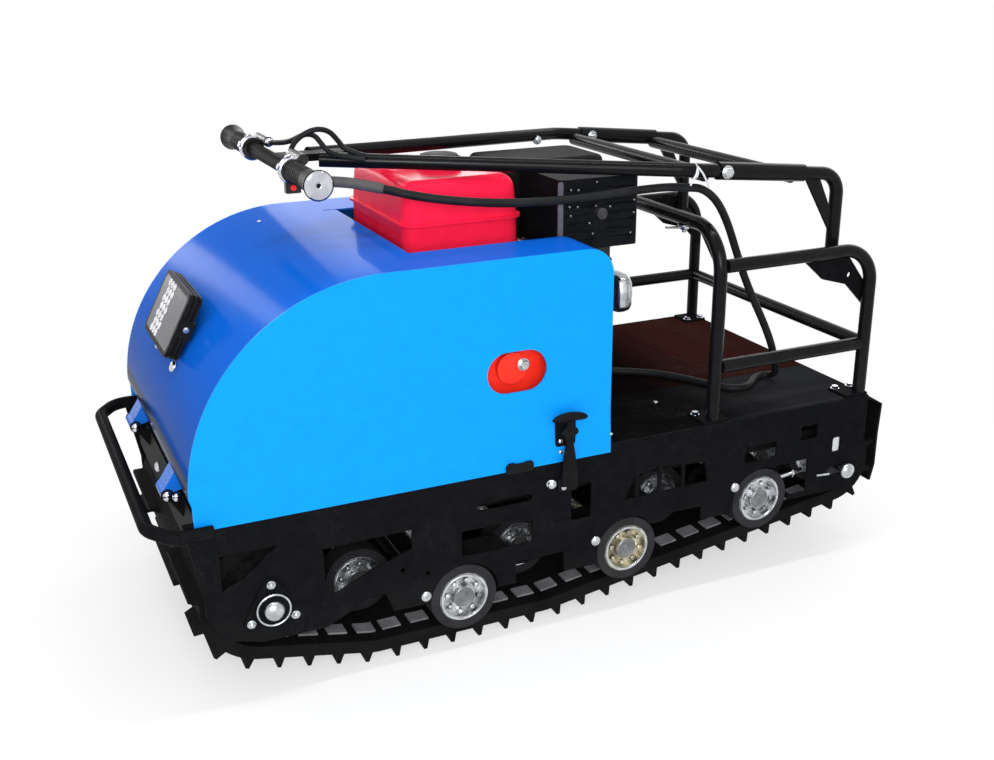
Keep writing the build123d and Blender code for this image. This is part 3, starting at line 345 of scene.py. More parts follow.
def finish(name, colour, second=None, rough=(0.3, 0.4), metal=0.0, coat=0.0, coat_rough=0.08, grain=400.0,
           bump=0.05, bump_depth=0.0004, wear=None, dust=None, scratch=None, specular=0.5, base=None):
    """Principled finish: two close colours in clouds, then scratches, worn edges and dust.

    Roughness and bump come from the grain. A base function gives the colours where they follow the piece.
    """
    material = bpy.data.materials.new(name)
    material.use_nodes = True
    tree = material.node_tree
    shader = tree.nodes["Principled BSDF"]
    grains = use(tree, GRAIN, Scale=grain)
    second = second or tuple(channel * 0.8 for channel in colour)
    colour = base(tree) if base else mixed(tree, grains["Broad"], colour, second)
    roughness = span(tree, grains["Value"], 0.0, 1.0, *rough)
    if scratch:
        tone, scale, amount = scratch
        colour = mixed(tree, use(tree, SCRATCHES, Scale=scale, Amount=amount)["Mask"], colour, tone)
    if wear:
        tone, radius, breakup, amount = wear
        mask = use(tree, WEAR, Radius=radius, Breakup=breakup, Amount=amount)["Mask"]
        colour = mixed(tree, mask, colour, tone)
    if dust:
        tone, low, high, amount = dust
        mask = use(tree, DUST, Low=low, High=high, Amount=amount)["Mask"]
        colour = mixed(tree, mask, colour, tone)
        roughness = sums(tree, "ADD", roughness, sums(tree, "MULTIPLY", mask, 0.4), True)
    tree.links.new(colour, shader.inputs["Base Color"])
    tree.links.new(roughness, shader.inputs["Roughness"])
    relief = tree.nodes.new("ShaderNodeBump")
    relief.inputs["Strength"].default_value = bump
    relief.inputs["Distance"].default_value = bump_depth
    tree.links.new(grains["Value"], relief.inputs["Height"])
    tree.links.new(relief.outputs[0], shader.inputs["Normal"])
    shader.inputs["Metallic"].default_value = metal
    shader.inputs["Coat Weight"].default_value = coat
    shader.inputs["Coat Roughness"].default_value = coat_rough
    shader.inputs["Specular IOR Level"].default_value = specular
    return material


GREY_WEAR = (0.10, 0.10, 0.105)
DIRT = (0.10, 0.095, 0.09)
HOOD_FLOOR = 0.305
HOOD_FRONT = 0.576


def wrap_colours_with_painted_shade(tree):
    """Deep blue with painted shade that darkens it towards the bottom, and a dark band of painted shade along
    the front bottom edge.
    """
    place = object_place(tree)
    level = part_of(tree, place, "Z")
    # Mask of the dark band of painted shade along the front bottom edge
    low = span(tree, level, HOOD_FLOOR + 0.050, HOOD_FLOOR + 0.062, 1.0, 0.0)
    front = span(tree, part_of(tree, place, "X"), HOOD_FRONT - 0.02, HOOD_FRONT - 0.014)
    blue = mixed(tree, noise(tree, place, 5.0, 2.0), (0.004, 0.108, 0.58), (0.005, 0.126, 0.64))
    # Painted shade: the blue darkens towards the bottom
    shade = span(tree, level, HOOD_FLOOR + 0.05, HOOD_FLOOR + 0.22, 0.75, 0.0)
    shaded = mixed(tree, shade, blue, (0.004, 0.050, 0.26))
    return mixed(tree, sums(tree, "MULTIPLY", low, front), shaded, (0.020, 0.034, 0.082))


def board_colours_with_painted_light(tree):
    """Dark brown film over plywood, darkened towards the hood by painted shade, with a painted grey reflection
    on the narrow left board.
    """
    place = object_place(tree)
    cloud = noise(tree, place, 11.0, 5.0)
    # Mask of painted shade that darkens the boards towards the hood
    rear = span(tree, part_of(tree, place, "X"), -0.45, -0.24, 1.0, 0.0)
    brown = mixed(tree, cloud, (0.026, 0.0085, 0.0068), (0.036, 0.0120, 0.0098))
    painted_reflection_grey = mixed(tree, cloud, (0.016, 0.0166, 0.018), (0.030, 0.031, 0.034))
    brown = mixed(tree, rear, (0.0040, 0.0030, 0.0032), brown)
    painted_reflection_grey = mixed(tree, rear, (0.0045, 0.0046, 0.0050), painted_reflection_grey)
    # Mask that puts the painted grey reflection on the narrow left board
    left = span(tree, part_of(tree, place, "Y"), 0.094, 0.096)
    return mixed(tree, left, brown, painted_reflection_grey)


def alloy_colours(tree):
    """Bright cast alloy; the middle wheel is a warmer cream."""
    place = object_place(tree)
    away = sums(tree, "ABSOLUTE", sums(tree, "ADD", part_of(tree, place, "X"), 0.109))
    warm = span(tree, away, 0.05, 0.06, 1.0, 0.0)
    cloud = span(tree, noise(tree, place, 55.0, 3.0), 0.36, 0.64)
    cold = mixed(tree, cloud, (0.66, 0.68, 0.70), (0.20, 0.21, 0.22))
    cream = mixed(tree, cloud, (0.68, 0.64, 0.50), (0.24, 0.22, 0.16))
    return mixed(tree, warm, cold, cream)


plate_black = finish("plate_black", (0.0064, 0.0067, 0.0074), (0.0050, 0.0053, 0.0060), (0.34, 0.46),
                     grain=900.0, bump=0.10, wear=(GREY_WEAR, 0.0010, 70.0, 0.30),
                     scratch=((0.030, 0.030, 0.032), 24.0, 0.5), dust=(DIRT, 0.02, 0.26, 0.04),
                     specular=0.004)
tube_black = finish("tube_black", (0.0052, 0.0054, 0.0062), (0.0040, 0.0042, 0.0048), (0.12, 0.20),
                    grain=900.0, bump=0.08, wear=(GREY_WEAR, 0.0010, 70.0, 0.25),
                    scratch=((0.04, 0.04, 0.045), 24.0, 0.4), specular=0.10)
hood_blue = finish("hood_gloss_blue", (0, 0, 0), rough=(0.10, 0.15), grain=260.0, bump=0.015,
                   base=wrap_colours_with_painted_shade, specular=0.004)
lug_blue = finish("lug_blue", (0.006, 0.15, 0.66), (0.006, 0.13, 0.60), (0.20, 0.30), grain=400.0, bump=0.05,
                  specular=0.3)
side_blue = finish("hood_side_azure", (0.0022, 0.258, 0.78), (0.0022, 0.247, 0.76), (0.36, 0.44), grain=600.0,
                   bump=0.03, specular=0.06)
tank_red = finish("tank_red", (0.90, 0.016, 0.060), (0.84, 0.014, 0.052), (0.14, 0.20), grain=300.0,
                  bump=0.02, specular=0.02)
starter_red = finish("starter_red", (0.93, 0.030, 0.014), (0.86, 0.024, 0.012), (0.36, 0.46), grain=500.0,
                     specular=0.15, wear=((0.55, 0.50, 0.48), 0.001, 90.0, 0.3))
cast_engine = finish("cast_engine", (0.060, 0.060, 0.064), (0.036, 0.036, 0.039), (0.5, 0.7), metal=0.4,
                     grain=700.0, bump=0.5, bump_depth=0.0006, dust=(DIRT, 0.30, 0.6, 0.2), specular=0.15)
wheel_alloy = finish("wheel_alloy", (0, 0, 0), rough=(0.16, 0.32), metal=0.9, grain=800.0, bump=0.35,
                     bump_depth=0.0005, base=alloy_colours, dust=(DIRT, 0.05, 0.24, 0.25))
boss_grey = finish("boss_grey", (0.20, 0.205, 0.21), (0.14, 0.143, 0.148), (0.30, 0.42), metal=0.7,
                   grain=700.0, bump=0.15)
zinc_steel = finish("zinc_steel", (0.62, 0.64, 0.66), (0.40, 0.42, 0.44), (0.16, 0.30), metal=1.0,
                    grain=900.0, bump=0.12)
chrome = finish("chrome_trim", (0.66, 0.67, 0.72), (0.50, 0.51, 0.57), (0.06, 0.14), metal=1.0, grain=500.0,
                bump=0.03)
clip_steel = finish("clip_steel", (0.27, 0.268, 0.29), (0.19, 0.188, 0.205), (0.36, 0.50), metal=0.2,
                    grain=500.0, bump=0.2, specular=0.15)
track_rubber = finish("track_rubber", (0.0075, 0.0077, 0.0084), (0.0052, 0.0054, 0.0058), (0.60, 0.78),
                      grain=260.0, bump=0.45, bump_depth=0.0007, dust=((0.05, 0.048, 0.046), 0.0, 0.16, 0.08),
                      specular=0.02)
tyre_rubber = finish("tyre_rubber", (0.026, 0.026, 0.029), (0.018, 0.018, 0.020), (0.58, 0.74), grain=420.0,
                     bump=0.35, dust=((0.07, 0.068, 0.065), 0.02, 0.18, 0.12), specular=0.04)
soft_rubber = finish("soft_rubber", (0.0080, 0.0080, 0.0088), (0.0055, 0.0055, 0.0062), (0.36, 0.50),
                     grain=700.0, bump=0.25, specular=0.04)
film_plywood = finish("film_plywood", (0, 0, 0), rough=(0.26, 0.38), grain=1500.0, bump=0.25,
                      bump_depth=0.0003, base=board_colours_with_painted_light, scratch=((0.05, 0.047, 0.044), 16.0, 0.7),
                      specular=0.0)
black_plastic = finish("black_plastic", (0.0085, 0.0088, 0.0094), (0.0060, 0.0062, 0.0068), (0.42, 0.56),
                       grain=1400.0, bump=0.4, bump_depth=0.0004, specular=0.06)
cleaner_plastic = finish("cleaner_plastic", (0.012, 0.0127, 0.0131), (0.0078, 0.0082, 0.0085), (0.44, 0.58),
                         grain=1400.0, bump=0.4, bump_depth=0.0004, specular=0.03)
guard_black = finish("guard_black", (0.0072, 0.0080, 0.0098), (0.0052, 0.0058, 0.0070), (0.34, 0.48),
                     grain=900.0, bump=0.2, wear=((0.10, 0.10, 0.105), 0.001, 80.0, 0.4), specular=0.02)
dark_metal = finish("dark_metal", (0.030, 0.030, 0.033), (0.014, 0.014, 0.016), (0.20, 0.36), metal=0.6,
                    grain=700.0, bump=0.2, wear=((0.45, 0.45, 0.47), 0.001, 90.0, 0.6), specular=0.3)
conduit_black = finish("conduit_black", (0.0125, 0.0132, 0.0145), (0.0085, 0.0090, 0.0100), (0.36, 0.50),
                       grain=500.0, bump=0.2, specular=0.08)
shrink_grey = finish("shrink_grey", (0.085, 0.080, 0.083), (0.062, 0.058, 0.061), (0.46, 0.58), grain=500.0,
                     bump=0.2, specular=0.12)
tie_white = finish("tie_white", (0.62, 0.63, 0.66), (0.52, 0.53, 0.56), (0.35, 0.5), grain=600.0, bump=0.1)
# Pale violet grey that paints a highlight along the guard's front corner
painted_highlight_grey = finish("painted_highlight_grey", (0.105, 0.10, 0.125), (0.080, 0.077, 0.096), (0.36, 0.5), metal=0.2,
                    grain=600.0, bump=0.15, specular=0.2)
lens_grey = finish("lens_grey", (0.072, 0.074, 0.084), (0.056, 0.058, 0.066), (0.22, 0.32), grain=500.0,
                   bump=0.02, specular=0.25)
diode_white = finish("diode_white", (0.72, 0.72, 0.76), (0.55, 0.55, 0.60), (0.06, 0.14), grain=500.0,
                     bump=0.02, specular=0.6)

SLOT_FINISH = {
    "black_frame": tube_black, "hood_blue": hood_blue, "hood_side_blue": side_blue, "tank_red": tank_red,
    "starter_red": starter_red, "engine_metal": cast_engine, "wheel_alloy": wheel_alloy, "steel": zinc_steel,
    "track_rubber": track_rubber, "tyre_rubber": tyre_rubber, "soft_rubber": soft_rubber,
    "plywood": film_plywood, "black_plastic": black_plastic, "guard_metal": guard_black, "lens": lens_grey,
}
NODE_FINISH = {
    "track_clips": clip_steel, "hand_controls": dark_metal, "drive_axle": dark_metal,
    "side_plate_left": plate_black, "side_plate_right": plate_black, "floor_sheet": plate_black,
    "wheel_rails": plate_black, "axle_bearings": plate_black, "hood_keepers": plate_black,
    "hood_hinge_lugs": lug_blue, "air_cleaner": cleaner_plastic, "hinge_ears": plate_black,
    "rack_feet": plate_black, "handlebar": plate_black, "bumper_hoop": plate_black,
    "pivot_plates": plate_black,
}
for part in frame["record"]["subparts"]:
    obj = nodes[part["node"]]
    obj.data.materials.clear()
    obj.data.materials.append(NODE_FINISH.get(part["node"]) or SLOT_FINISH[part["material_slot"]])
    obj.data.shade_smooth()
    obj.data.set_sharp_from_angle(angle=math.radians(30))

# Places that the pieces share, in mm
LEFT = (0, 1, 0)
RIGHT = (0, -1, 0)
FORWARD = (1, 0, 0)
UP = (0, 0, 1)
DECK = 300
PLATE_FACE = 275
DRIVE = (476, 149)
TAIL = (-543, 169)
WHEEL_LEVEL = 90
INNER_SHARES = (0.163, 0.438, 0.702, 0.915)
OUTER_SHARES = (0.292, 0.574, 0.829)
TRACK_LENGTH = DRIVE[0] - TAIL[0]
RAMP_START = DRIVE[0] - INNER_SHARES[1] * TRACK_LENGTH
RAMP_SLOPE = (TAIL[1] - WHEEL_LEVEL) / (RAMP_START - TAIL[0])
LEG_LINE = 225.85
LEG_RADIUS = 13.5
ELBOW = (-516, 680)
SLEEVE_SLOPE = 23 / 237
BAR = (365, 737)
HOOD_ARC = (286.56, 325)
HOOD_RADIUS = 290


def axle_level(x):
    """Height of the wheel axles at x: level, then straight up the ramp to the tail axle."""
    return WHEEL_LEVEL + np.clip(RAMP_START - x, 0, None) * RAMP_SLOPE


def wheel_place(share):
    """Axle place at a share of the way from the drive axle to the tail axle."""
    x = DRIVE[0] - share * TRACK_LENGTH
    return x, axle_level(x)


def sleeve_height(x):
    """Height of the lever's sleeve axis: a straight line on from the elbow."""
    return ELBOW[1] + (x - ELBOW[0]) * SLEEVE_SLOPE


def on_hood(degrees):
    """Place (x, z) on the hood's round front at an angle up from level, and the direction out of it."""
    turn = math.radians(degrees)
    out = (math.cos(turn), 0, math.sin(turn))
    return (HOOD_ARC[0] + HOOD_RADIUS * out[0], HOOD_ARC[1] + HOOD_RADIUS * out[2]), out


def even_turns(count, start=0.0):
    """Angles of even steps round a circle."""
    return start + np.arange(count) * math.tau / count


def circle_places(centre, radius, turns, size):
    """Places facing left round a circle: x = cx + r cos t, z = cz + r sin t."""
    x, y, z = centre
    return [(x + radius * math.cos(t), y, z + radius * math.sin(t), LEFT, size) for t in turns]


def both_sides(places):
    """Places with their mirror images across the middle plane."""
    return list(places) + [(x, -y, z, (ax, -ay, az), size) for x, y, z, (ax, ay, az), size in places]


def mirrored(shape):
    """A shape together with its mirror image across the middle plane."""
    points, faces = shape
    return joined(shape, (points * (1, -1, 1), faces[:, ::-1]))


def ring(radius, thick, sides=28, tube=8):
    """Torus round Z in mm: r = R + t cos a, h = t sin a."""
    a = np.linspace(0, math.tau, tube + 1)
    return turned(np.stack([radius + thick * np.cos(a), thick * np.sin(a)], 1), sides)


def bar(start, end, radius, sides=12):
    """Straight round bar between two points in mm."""
    line = np.linspace(start, end, 3)
    return carried(line, circle(radius, sides), (0.31, 0.27, 0.91))


# Cords: the harness from the bar to the engine, then the two hand controls' cables
LEVER_ROUTE = (
    (345, 96, 716), (293, 100, 714), (240, 120, 703), (190, 148, 690), (132, 166, 681), (72, 178, 675),
    (10, 185, 672), (-52, 190, 673), (-110, 195, 676), (-165, 202, 680), (-205, 207, 681), (-236, 211, 678),
)
DECK_ROUTE = (
    (-261, 214.2, 675.6), (-296, 205, 652), (-325, 196, 612), (-347, 191, 566),
    (-368, 188, 520), (-391, 187, 476), (-414, 188, 434), (-436, 186, 392), (-456, 176, 352),
    (-474, 158, 322), (-480, 137, 309), (-464, 126, 307.2), (-441, 138, 307), (-420, 160, 307.2),
    (-394, 170, 307), (-369, 154, 307.2), (-350, 118, 307), (-330, 76, 307.2), (-301, 36, 307),
    (-262, 6, 307.2), (-215, -20, 307), (-160, -36, 307.2), (-105, -44, 307), (-51.4, -46, 307.2),
)
LEFT_CABLE = (
    (350, 65.7, 752), (350, 54, 752), (340, 57, 771), (314, 60, 785), (290, 56, 781),
    (275, 54, 764), (266, 58, 749), (236, 68, 740.5),
)
RIGHT_CABLE = (
    (350, -65.7, 752), (350, -54, 752), (334, -6, 758), (321, 34, 775), (308, 46, 774),
    (299, 52, 759), (290, 59, 747), (268, 72, 741.5), (244, 80, 738),
)


def route_curve(name, route, radius=0.0):
    """Smooth curve object whose control points are the route's points."""
    data = bpy.data.curves.new(name, "CURVE")
    data.dimensions = "3D"
    data.resolution_u = 10
    data.bevel_depth = radius * MM
    data.bevel_resolution = 4
    data.use_fill_caps = True
    spline = data.splines.new("NURBS")
    spline.points.add(len(route) - 1)
    points = np.concatenate([np.array(route, float) * MM, np.ones((len(route), 1))], 1)
    spline.points.foreach_set("co", points.ravel())
    spline.order_u = 3
    spline.use_endpoint_u = True
    obj = bpy.data.objects.new(name, data)
    scene.collection.objects.link(obj)
    return obj


def route_points(route):
    """Points in mm read from the route's smooth curve."""
    guide = route_curve("route_guide", route)
    bpy.context.view_layer.update()
    mesh = bpy.data.meshes.new_from_object(guide)
    points = np.empty(len(mesh.vertices) * 3)
    mesh.vertices.foreach_get("co", points)
    bpy.data.objects.remove(guide)
    bpy.data.meshes.remove(mesh)
    return points.reshape(-1, 3) / MM


HARNESS_RADIUS = 6.5
SHRINK_WALL = 1.4
SHRINK_POINTS = 18
CABLE_RADIUS = 4.0
SIDEWAYS = (0.05, 0.99, 0.11)
harness_line = route_points(LEVER_ROUTE + DECK_ROUTE)
harness = piece("harness_conduit", carried(harness_line, circle(HARNESS_RADIUS, 14), SIDEWAYS), conduit_black,
                None, crease=60)
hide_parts("harness_lever", "harness_deck")
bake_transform(harness)
shrink_tube = carried(harness_line[:SHRINK_POINTS], circle(HARNESS_RADIUS + SHRINK_WALL, 14), SIDEWAYS)
shrink = piece("harness_shrink", shrink_tube, shrink_grey, "lever", crease=60)
for name, route in (("left_hand_cable", LEFT_CABLE), ("right_hand_cable", RIGHT_CABLE)):
    line = route_points(route)
    cable = route_curve(name, route, CABLE_RADIUS)
    cable.data.materials.append(conduit_black)
    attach(cable, "lever")
    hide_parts("control_cables")

# Small hardware, as shapes standing on z = 0 in mm
dome_head = turned(((0, -0.6), (8, -0.6), (8, 1.0), (7.1, 3.0), (4.6, 4.6), (0, 5.4)), 18)
hex_head = joined(turned(((0, -0.6), (9, -0.6), (9, 1.2), (8.6, 1.5), (0, 1.5)), 20),
                  turned(((0, 1.0), (7.0, 1.0), (7.2, 1.5), (7.2, 5.4), (6.4, 6.2), (0, 6.2)), 6))
stud_nut = joined(hex_head, turned(((0, 6.0), (3.2, 6.0), (3.2, 10.0), (2.5, 10.7), (0, 10.7)), 12))
rivet_head = turned(((0, -0.4), (3.2, -0.4), (3.0, 0.8), (1.8, 1.7), (0, 2.0)), 10)

# Wheel hubs: studs round the dish, a cap on the boss and a bright rim
STUD_CIRCLE = 26.5
STUD_TURNS = even_turns(8, 0.2)
HUB_DISH = 8
HUB_ROWS = (
    # shares along the track, Y of the hub's face
    (OUTER_SHARES, 272),
    (INNER_SHARES, 153),
)
hub_places = [(x, face, z, LEFT, 1) for shares, face in HUB_ROWS for x, z in map(wheel_place, shares)]
stud_places = [place for x, y, z, _, _ in hub_places
               for place in circle_places((x, y - HUB_DISH, z), STUD_CIRCLE, STUD_TURNS, 1)]
hub_stud = turned(((0, -0.5), (5.0, -0.5), (4.8, 4.0), (3.8, 6.4), (1.9, 7.4), (0, 7.6)), 12)
piece("hub_studs", placed(hub_stud, both_sides(stud_places)), wheel_alloy, "chassis")
hub_cap = turned(((0, -0.4), (16.5, -0.4), (16.5, 0.6), (15.4, 1.5), (13.6, 1.5), (12.4, 0.7), (6.4, 0.7),
                  (5.6, 2.0), (0, 2.4)), 30)
piece("hub_caps", placed(hub_cap, both_sides(hub_places)), boss_grey, "chassis")
piece("hub_rims", placed(ring(36.9, 2.3, 40), both_sides(hub_places)), zinc_steel, "chassis")

# Wheel rails: thin strips whose top edge dips in front of each inner hub
RAIL_ENDS = (-482.4, 335.9)
RAIL_FACES = (182.5, 187.5)
RAIL_DROP = 16
RAIL_RISE = 48
DIP_DEPTH = 36
DIP_REACH = 45


def dipped_rail(rows=240):
    """Strip along X: bottom = axle level - drop, top = axle level + rise - depth exp(-(d / reach)^4).

    d is the distance along X from the nearest inner hub.
    """
    x = np.linspace(*RAIL_ENDS, rows)
    hubs = np.array([wheel_place(share)[0] for share in INNER_SHARES])
    gap = np.abs(x[:, None] - hubs).min(1)
    low = axle_level(x) - RAIL_DROP
    top = axle_level(x) + RAIL_RISE - DIP_DEPTH * np.exp(-(gap / DIP_REACH) ** 4)
    inner, outer = (np.full(rows, face) for face in RAIL_FACES)
    corners = [np.stack([x, y, z], 1) for y, z in ((inner, low), (outer, low), (outer, top), (inner, top))]
    return closed_rings(np.stack(corners, 1) * MM)


rails = piece("dipped_wheel_rails", mirrored(dipped_rail()), plate_black, "chassis")
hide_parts("wheel_rails")

# Side plates: bolts by the wheels, bearing nuts and rings, tension screws, slot strips and edge clips
BEARING_CIRCLE = 37
bearing_face = (DRIVE[0], PLATE_FACE + 5, DRIVE[1])
bearing_nuts = circle_places(bearing_face, BEARING_CIRCLE, even_turns(3, math.pi / 2), 0.72)
wheel_bolts = [(x, PLATE_FACE, z, LEFT, 1.1) for x, z in ((242, 108), (-49, 137), (-314, 178))]
axle_bolts = [(TAIL[0], 285, TAIL[1], LEFT, 1.75), (DRIVE[0], 288, DRIVE[1], LEFT, 1.9)]
tension_nuts = [(-398, 252, 164, (1, 0, -0.1), 1.0), (-446, 252, 169.5, (-1, 0, 0.1), 1.0)]
piece("plate_bolts", joined(
    placed(dome_head, both_sides(wheel_bolts + axle_bolts)),
    placed(stud_nut, both_sides(bearing_nuts)),
    mirrored(bar((-512, 276, 165), (-484, 276, 167), 2.2)),
    mirrored(bar((-470, 252, 172), (-396, 252, 164), 4.2)),
    placed(hex_head, both_sides(tension_nuts))), zinc_steel, "chassis")
piece("bearing_rings", placed(ring(24, 1.7, 36), both_sides([(DRIVE[0], 286, DRIVE[1], LEFT, 1)])),
      zinc_steel, "chassis")
piece("tail_slot_strips", placed(block(15, 3, 26), both_sides([(-525, 269.6, 216, UP, 1)])), tie_white,
      "chassis")
piece("plate_edge_clips", mirrored(joined(
    placed(block(46, 4, 15, 0.2), [(86, 278.2, 291, UP, 1)]),
    placed(block(12, 5, 8, 0.3), [(100, 279, 297, UP, 1), (72, 279, 296, UP, 1)]))), black_plastic, "chassis")

# Rubber latches: a tapering strap with wings under a T handle, on a bracket with two bolts
LATCH_X = 6
STRAP_Y = 287
STRAP_LEVELS = (250, 262, 300, 318, 330, 337, 343, 349, 357)
STRAP_HALF_WIDTHS = (13, 14, 9.5, 6.0, 6.5, 14.5, 13, 5.5, 6.5)
STRAP_HALF_THICK = 4.0
HANDLE_REACH = 30
HANDLE_LEVEL = 364


def latch_strap(rows=60, sides=20):
    """Strap up Z: each level is a squared-off oval, x = w C(t), y = h S(t), w from the half widths."""
    level = np.linspace(STRAP_LEVELS[0], STRAP_LEVELS[-1], rows)[:, None]
    t = np.linspace(0, math.tau, sides, endpoint=False)
    x = LATCH_X + np.interp(level, STRAP_LEVELS, STRAP_HALF_WIDTHS) * bent(np.cos(t), 0.5)
    y = STRAP_Y + STRAP_HALF_THICK * bent(np.sin(t), 0.5)
    return closed_rings(np.stack(np.broadcast_arrays(x, y, level), -1) * MM)


def latch_handle(rows=40):
    """Bowed handle along X, s from -1 to 1: z = level + s - 4 s^2, an oval section tapering to its ends."""
    s = np.linspace(-1, 1, rows)
    level = HANDLE_LEVEL + s - 4 * s ** 2
    path = np.stack([LATCH_X + HANDLE_REACH * s, np.full(rows, STRAP_Y + 0.5), level], 1)
    taper = np.sqrt(np.clip(1 - np.abs(s) ** 5, 0.03, 1)) * (1.05 - 0.25 * np.abs(s))
    return carried(path, circle(1, 16) * (5.0, 7.0), UP, taper)


latch_foot = joined(placed(block(34, 10, 22), [(LATCH_X, 280, 250, UP, 1)]),
                    placed(block(30, 5, 14), [(24, 277.4, 252, UP, 1)]))
latch = piece("latch_rubbers", mirrored(joined(latch_strap(), latch_handle(), latch_foot)), soft_rubber,
              "chassis")
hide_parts("latches")
piece("latch_bolts", joined(
    placed(stud_nut, both_sides([(33, 279.5, 254, (0.35, 0.94, 0), 0.85)])),
    placed(dome_head, both_sides([(14, 284.5, 247, LEFT, 0.6)]))), chrome, "chassis")
keeper_places = [(17, 277, 322, LEFT, 0.48), (16, 277, 304, LEFT, 0.48)]
piece("keeper_bolts", placed(dome_head, both_sides(keeper_places)), chrome, "hood")

# Work lamp: staggered rows of diodes on its face, and a bolt at each side
LAMP_TILT = math.radians(28)
LAMP_FACE = 31
lamp_spot, _ = on_hood(39)
lamp_aim = (math.cos(LAMP_TILT), 0, math.sin(LAMP_TILT))


def on_lamp(across, along, out):
    """Point in mm on the lamp: across in Y, along up its face, out from the hood along its aim."""
    return (lamp_spot[0] + out * lamp_aim[0] - along * lamp_aim[2], across,
            lamp_spot[1] + out * lamp_aim[2] + along * lamp_aim[0])


diode_places = [(*on_lamp(across + (4 if row % 2 else 0), along, LAMP_FACE), lamp_aim, 1)
                for across in (-42, -25, -8) for row, along in enumerate(np.linspace(-37, 37, 7))]
diode = turned(((0, -0.3), (6.2, -0.3), (5.8, 0.9), (4.6, 1.3), (3.6, 0.5), (2.2, 1.8), (0, 2.4)), 16)
piece("lamp_diodes", placed(diode, diode_places), diode_white, "hood")
piece("lamp_bolts", placed(hex_head, both_sides([(*on_lamp(91, 0, 18), LEFT, 0.5)])), zinc_steel, "hood")

# Hood: hinge, panel and lamp bracket bolts, a rivet on top, side hems and the flange at the tank's cut-out
EAR_LINE = 145
EAR_HALF = 25.5
HEM_ENDS = (-72, 573)
HEM_SECTION = ((272.4, 352), (273.06, 352), (276.4, 302), (276.4, 287), (275.3, 287), (275.3, 301.5),
               (272.4, 303.5))


def hood_hem(rows=12):
    """Section of (y, z) points in mm carried straight along X from the hood's rear edge to its front."""
    rings = np.empty((rows, len(HEM_SECTION), 3))
    rings[..., 0] = np.linspace(*HEM_ENDS, rows)[:, None]
    rings[..., 1:] = HEM_SECTION
    return closed_rings(rings * MM)


ear_bolts = [(589, EAR_LINE + EAR_HALF, 300, LEFT, 0.95), (576, EAR_LINE + EAR_HALF, 296, LEFT, 0.85),
             (589, EAR_LINE - EAR_HALF, 300, RIGHT, 0.95)]
piece("hinge_bolts", placed(dome_head, both_sides(ear_bolts)), chrome, "chassis")
piece("panel_bolt", placed(dome_head, [(570, -51, 254, FORWARD, 1.0)]), tie_white, "chassis")
(bracket_x, bracket_z), bracket_out = on_hood(26.5)
piece("lamp_bracket_bolts", placed(dome_head, both_sides([(bracket_x, 61, bracket_z, bracket_out, 1.1)])),
      chrome, "hood")
piece("hood_top_rivets", placed(rivet_head, [(350, -170, 608, (0.22, 0, 0.975), 1.0)]), zinc_steel, "hood")
piece("hood_side_hems", mirrored(hood_hem()), side_blue, "hood")
piece("hood_cut_flange", placed(block(32, 354, 3.0, 0.12), [(231, 0, 613.2, UP, 1)]), hood_blue, "hood")

# Handlebar: ribbed trumpet grips with chrome ends, clamp bands, cable adjusters, and the switch's button
GRIP_ROOT = 130
GRIP_END = 250
GRIP_LENGTH = GRIP_END - GRIP_ROOT


def trumpet_grip(rows=110):
    """Turned grip, s from 0 to 1 along it: r = 15 + flare + collar + ribs.

    The flare is 6 ((s - 0.55) / 0.45)^2 past s = 0.55, the collar 2.6 exp(-(s / 0.07)^2), and the ribs
    0.45 sin(13 turns of s) between s = 0.12 and 0.62.
    """
    s = np.linspace(0, 1, rows)
    radius = (15 + 6 * np.clip((s - 0.55) / 0.45, 0, 1) ** 2 + 2.6 * np.exp(-(s / 0.07) ** 2)
              + 0.45 * np.sin(math.tau * 13 * s) * (s > 0.12) * (s < 0.62))
    side = np.stack([radius, s * GRIP_LENGTH], 1)
    return turned(np.concatenate([[(0, 0), (11.2, 0)], side, [(19.0, GRIP_LENGTH), (0, GRIP_LENGTH)]]), 28)


grip_ends = both_sides([(BAR[0], GRIP_END, BAR[1], LEFT, 1)])
grips = piece("grip_rubbers", placed(trumpet_grip(), both_sides([(BAR[0], GRIP_ROOT, BAR[1], LEFT, 1)])),
              soft_rubber, "lever")
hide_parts("grips")
grip_disc = turned(((0, -0.5), (19.2, -0.5), (19.6, 0.8), (18.4, 1.9), (12, 2.7), (6.0, 2.7), (5.0, 1.9),
                    (3.4, 0.7), (0, 0.5)), 32)
piece("grip_end_discs", placed(grip_disc, grip_ends), chrome, "lever")
grip_hole = turned(((0, 0.4), (3.2, 0.4), (3.2, 0.9), (0, 1.0)), 14)
piece("grip_end_holes", placed(grip_hole, grip_ends), soft_rubber, "lever")
adjuster = turned(((0, -1), (6.6, -1), (7.0, 0), (7.0, 4), (5.4, 5), (5.4, 11), (4.4, 12), (0, 12)), 12)
clamp_screws = [(BAR[0] + 16, 117, BAR[1] + 6, (0.94, 0, 0.35), 0.7),
                (BAR[0] + 4, 117, BAR[1] + 17, (0.2, 0, 0.98), 0.7)]
piece("clamp_trim", joined(
    placed(ring(17.2, 2.0), both_sides([(BAR[0], y, BAR[1], LEFT, 1) for y in (112, 122)])),
    placed(hex_head, both_sides(clamp_screws)),
    placed(adjuster, both_sides([(350, 66, 752, RIGHT, 1)]))), chrome, "lever")
button = turned(((0, -0.5), (6, -0.5), (6, 1.6), (4.8, 2.6), (0, 3.0)), 18)
piece("switch_button", placed(button, [(366, 126, 714, LEFT, 0.7)]), starter_red, "lever")

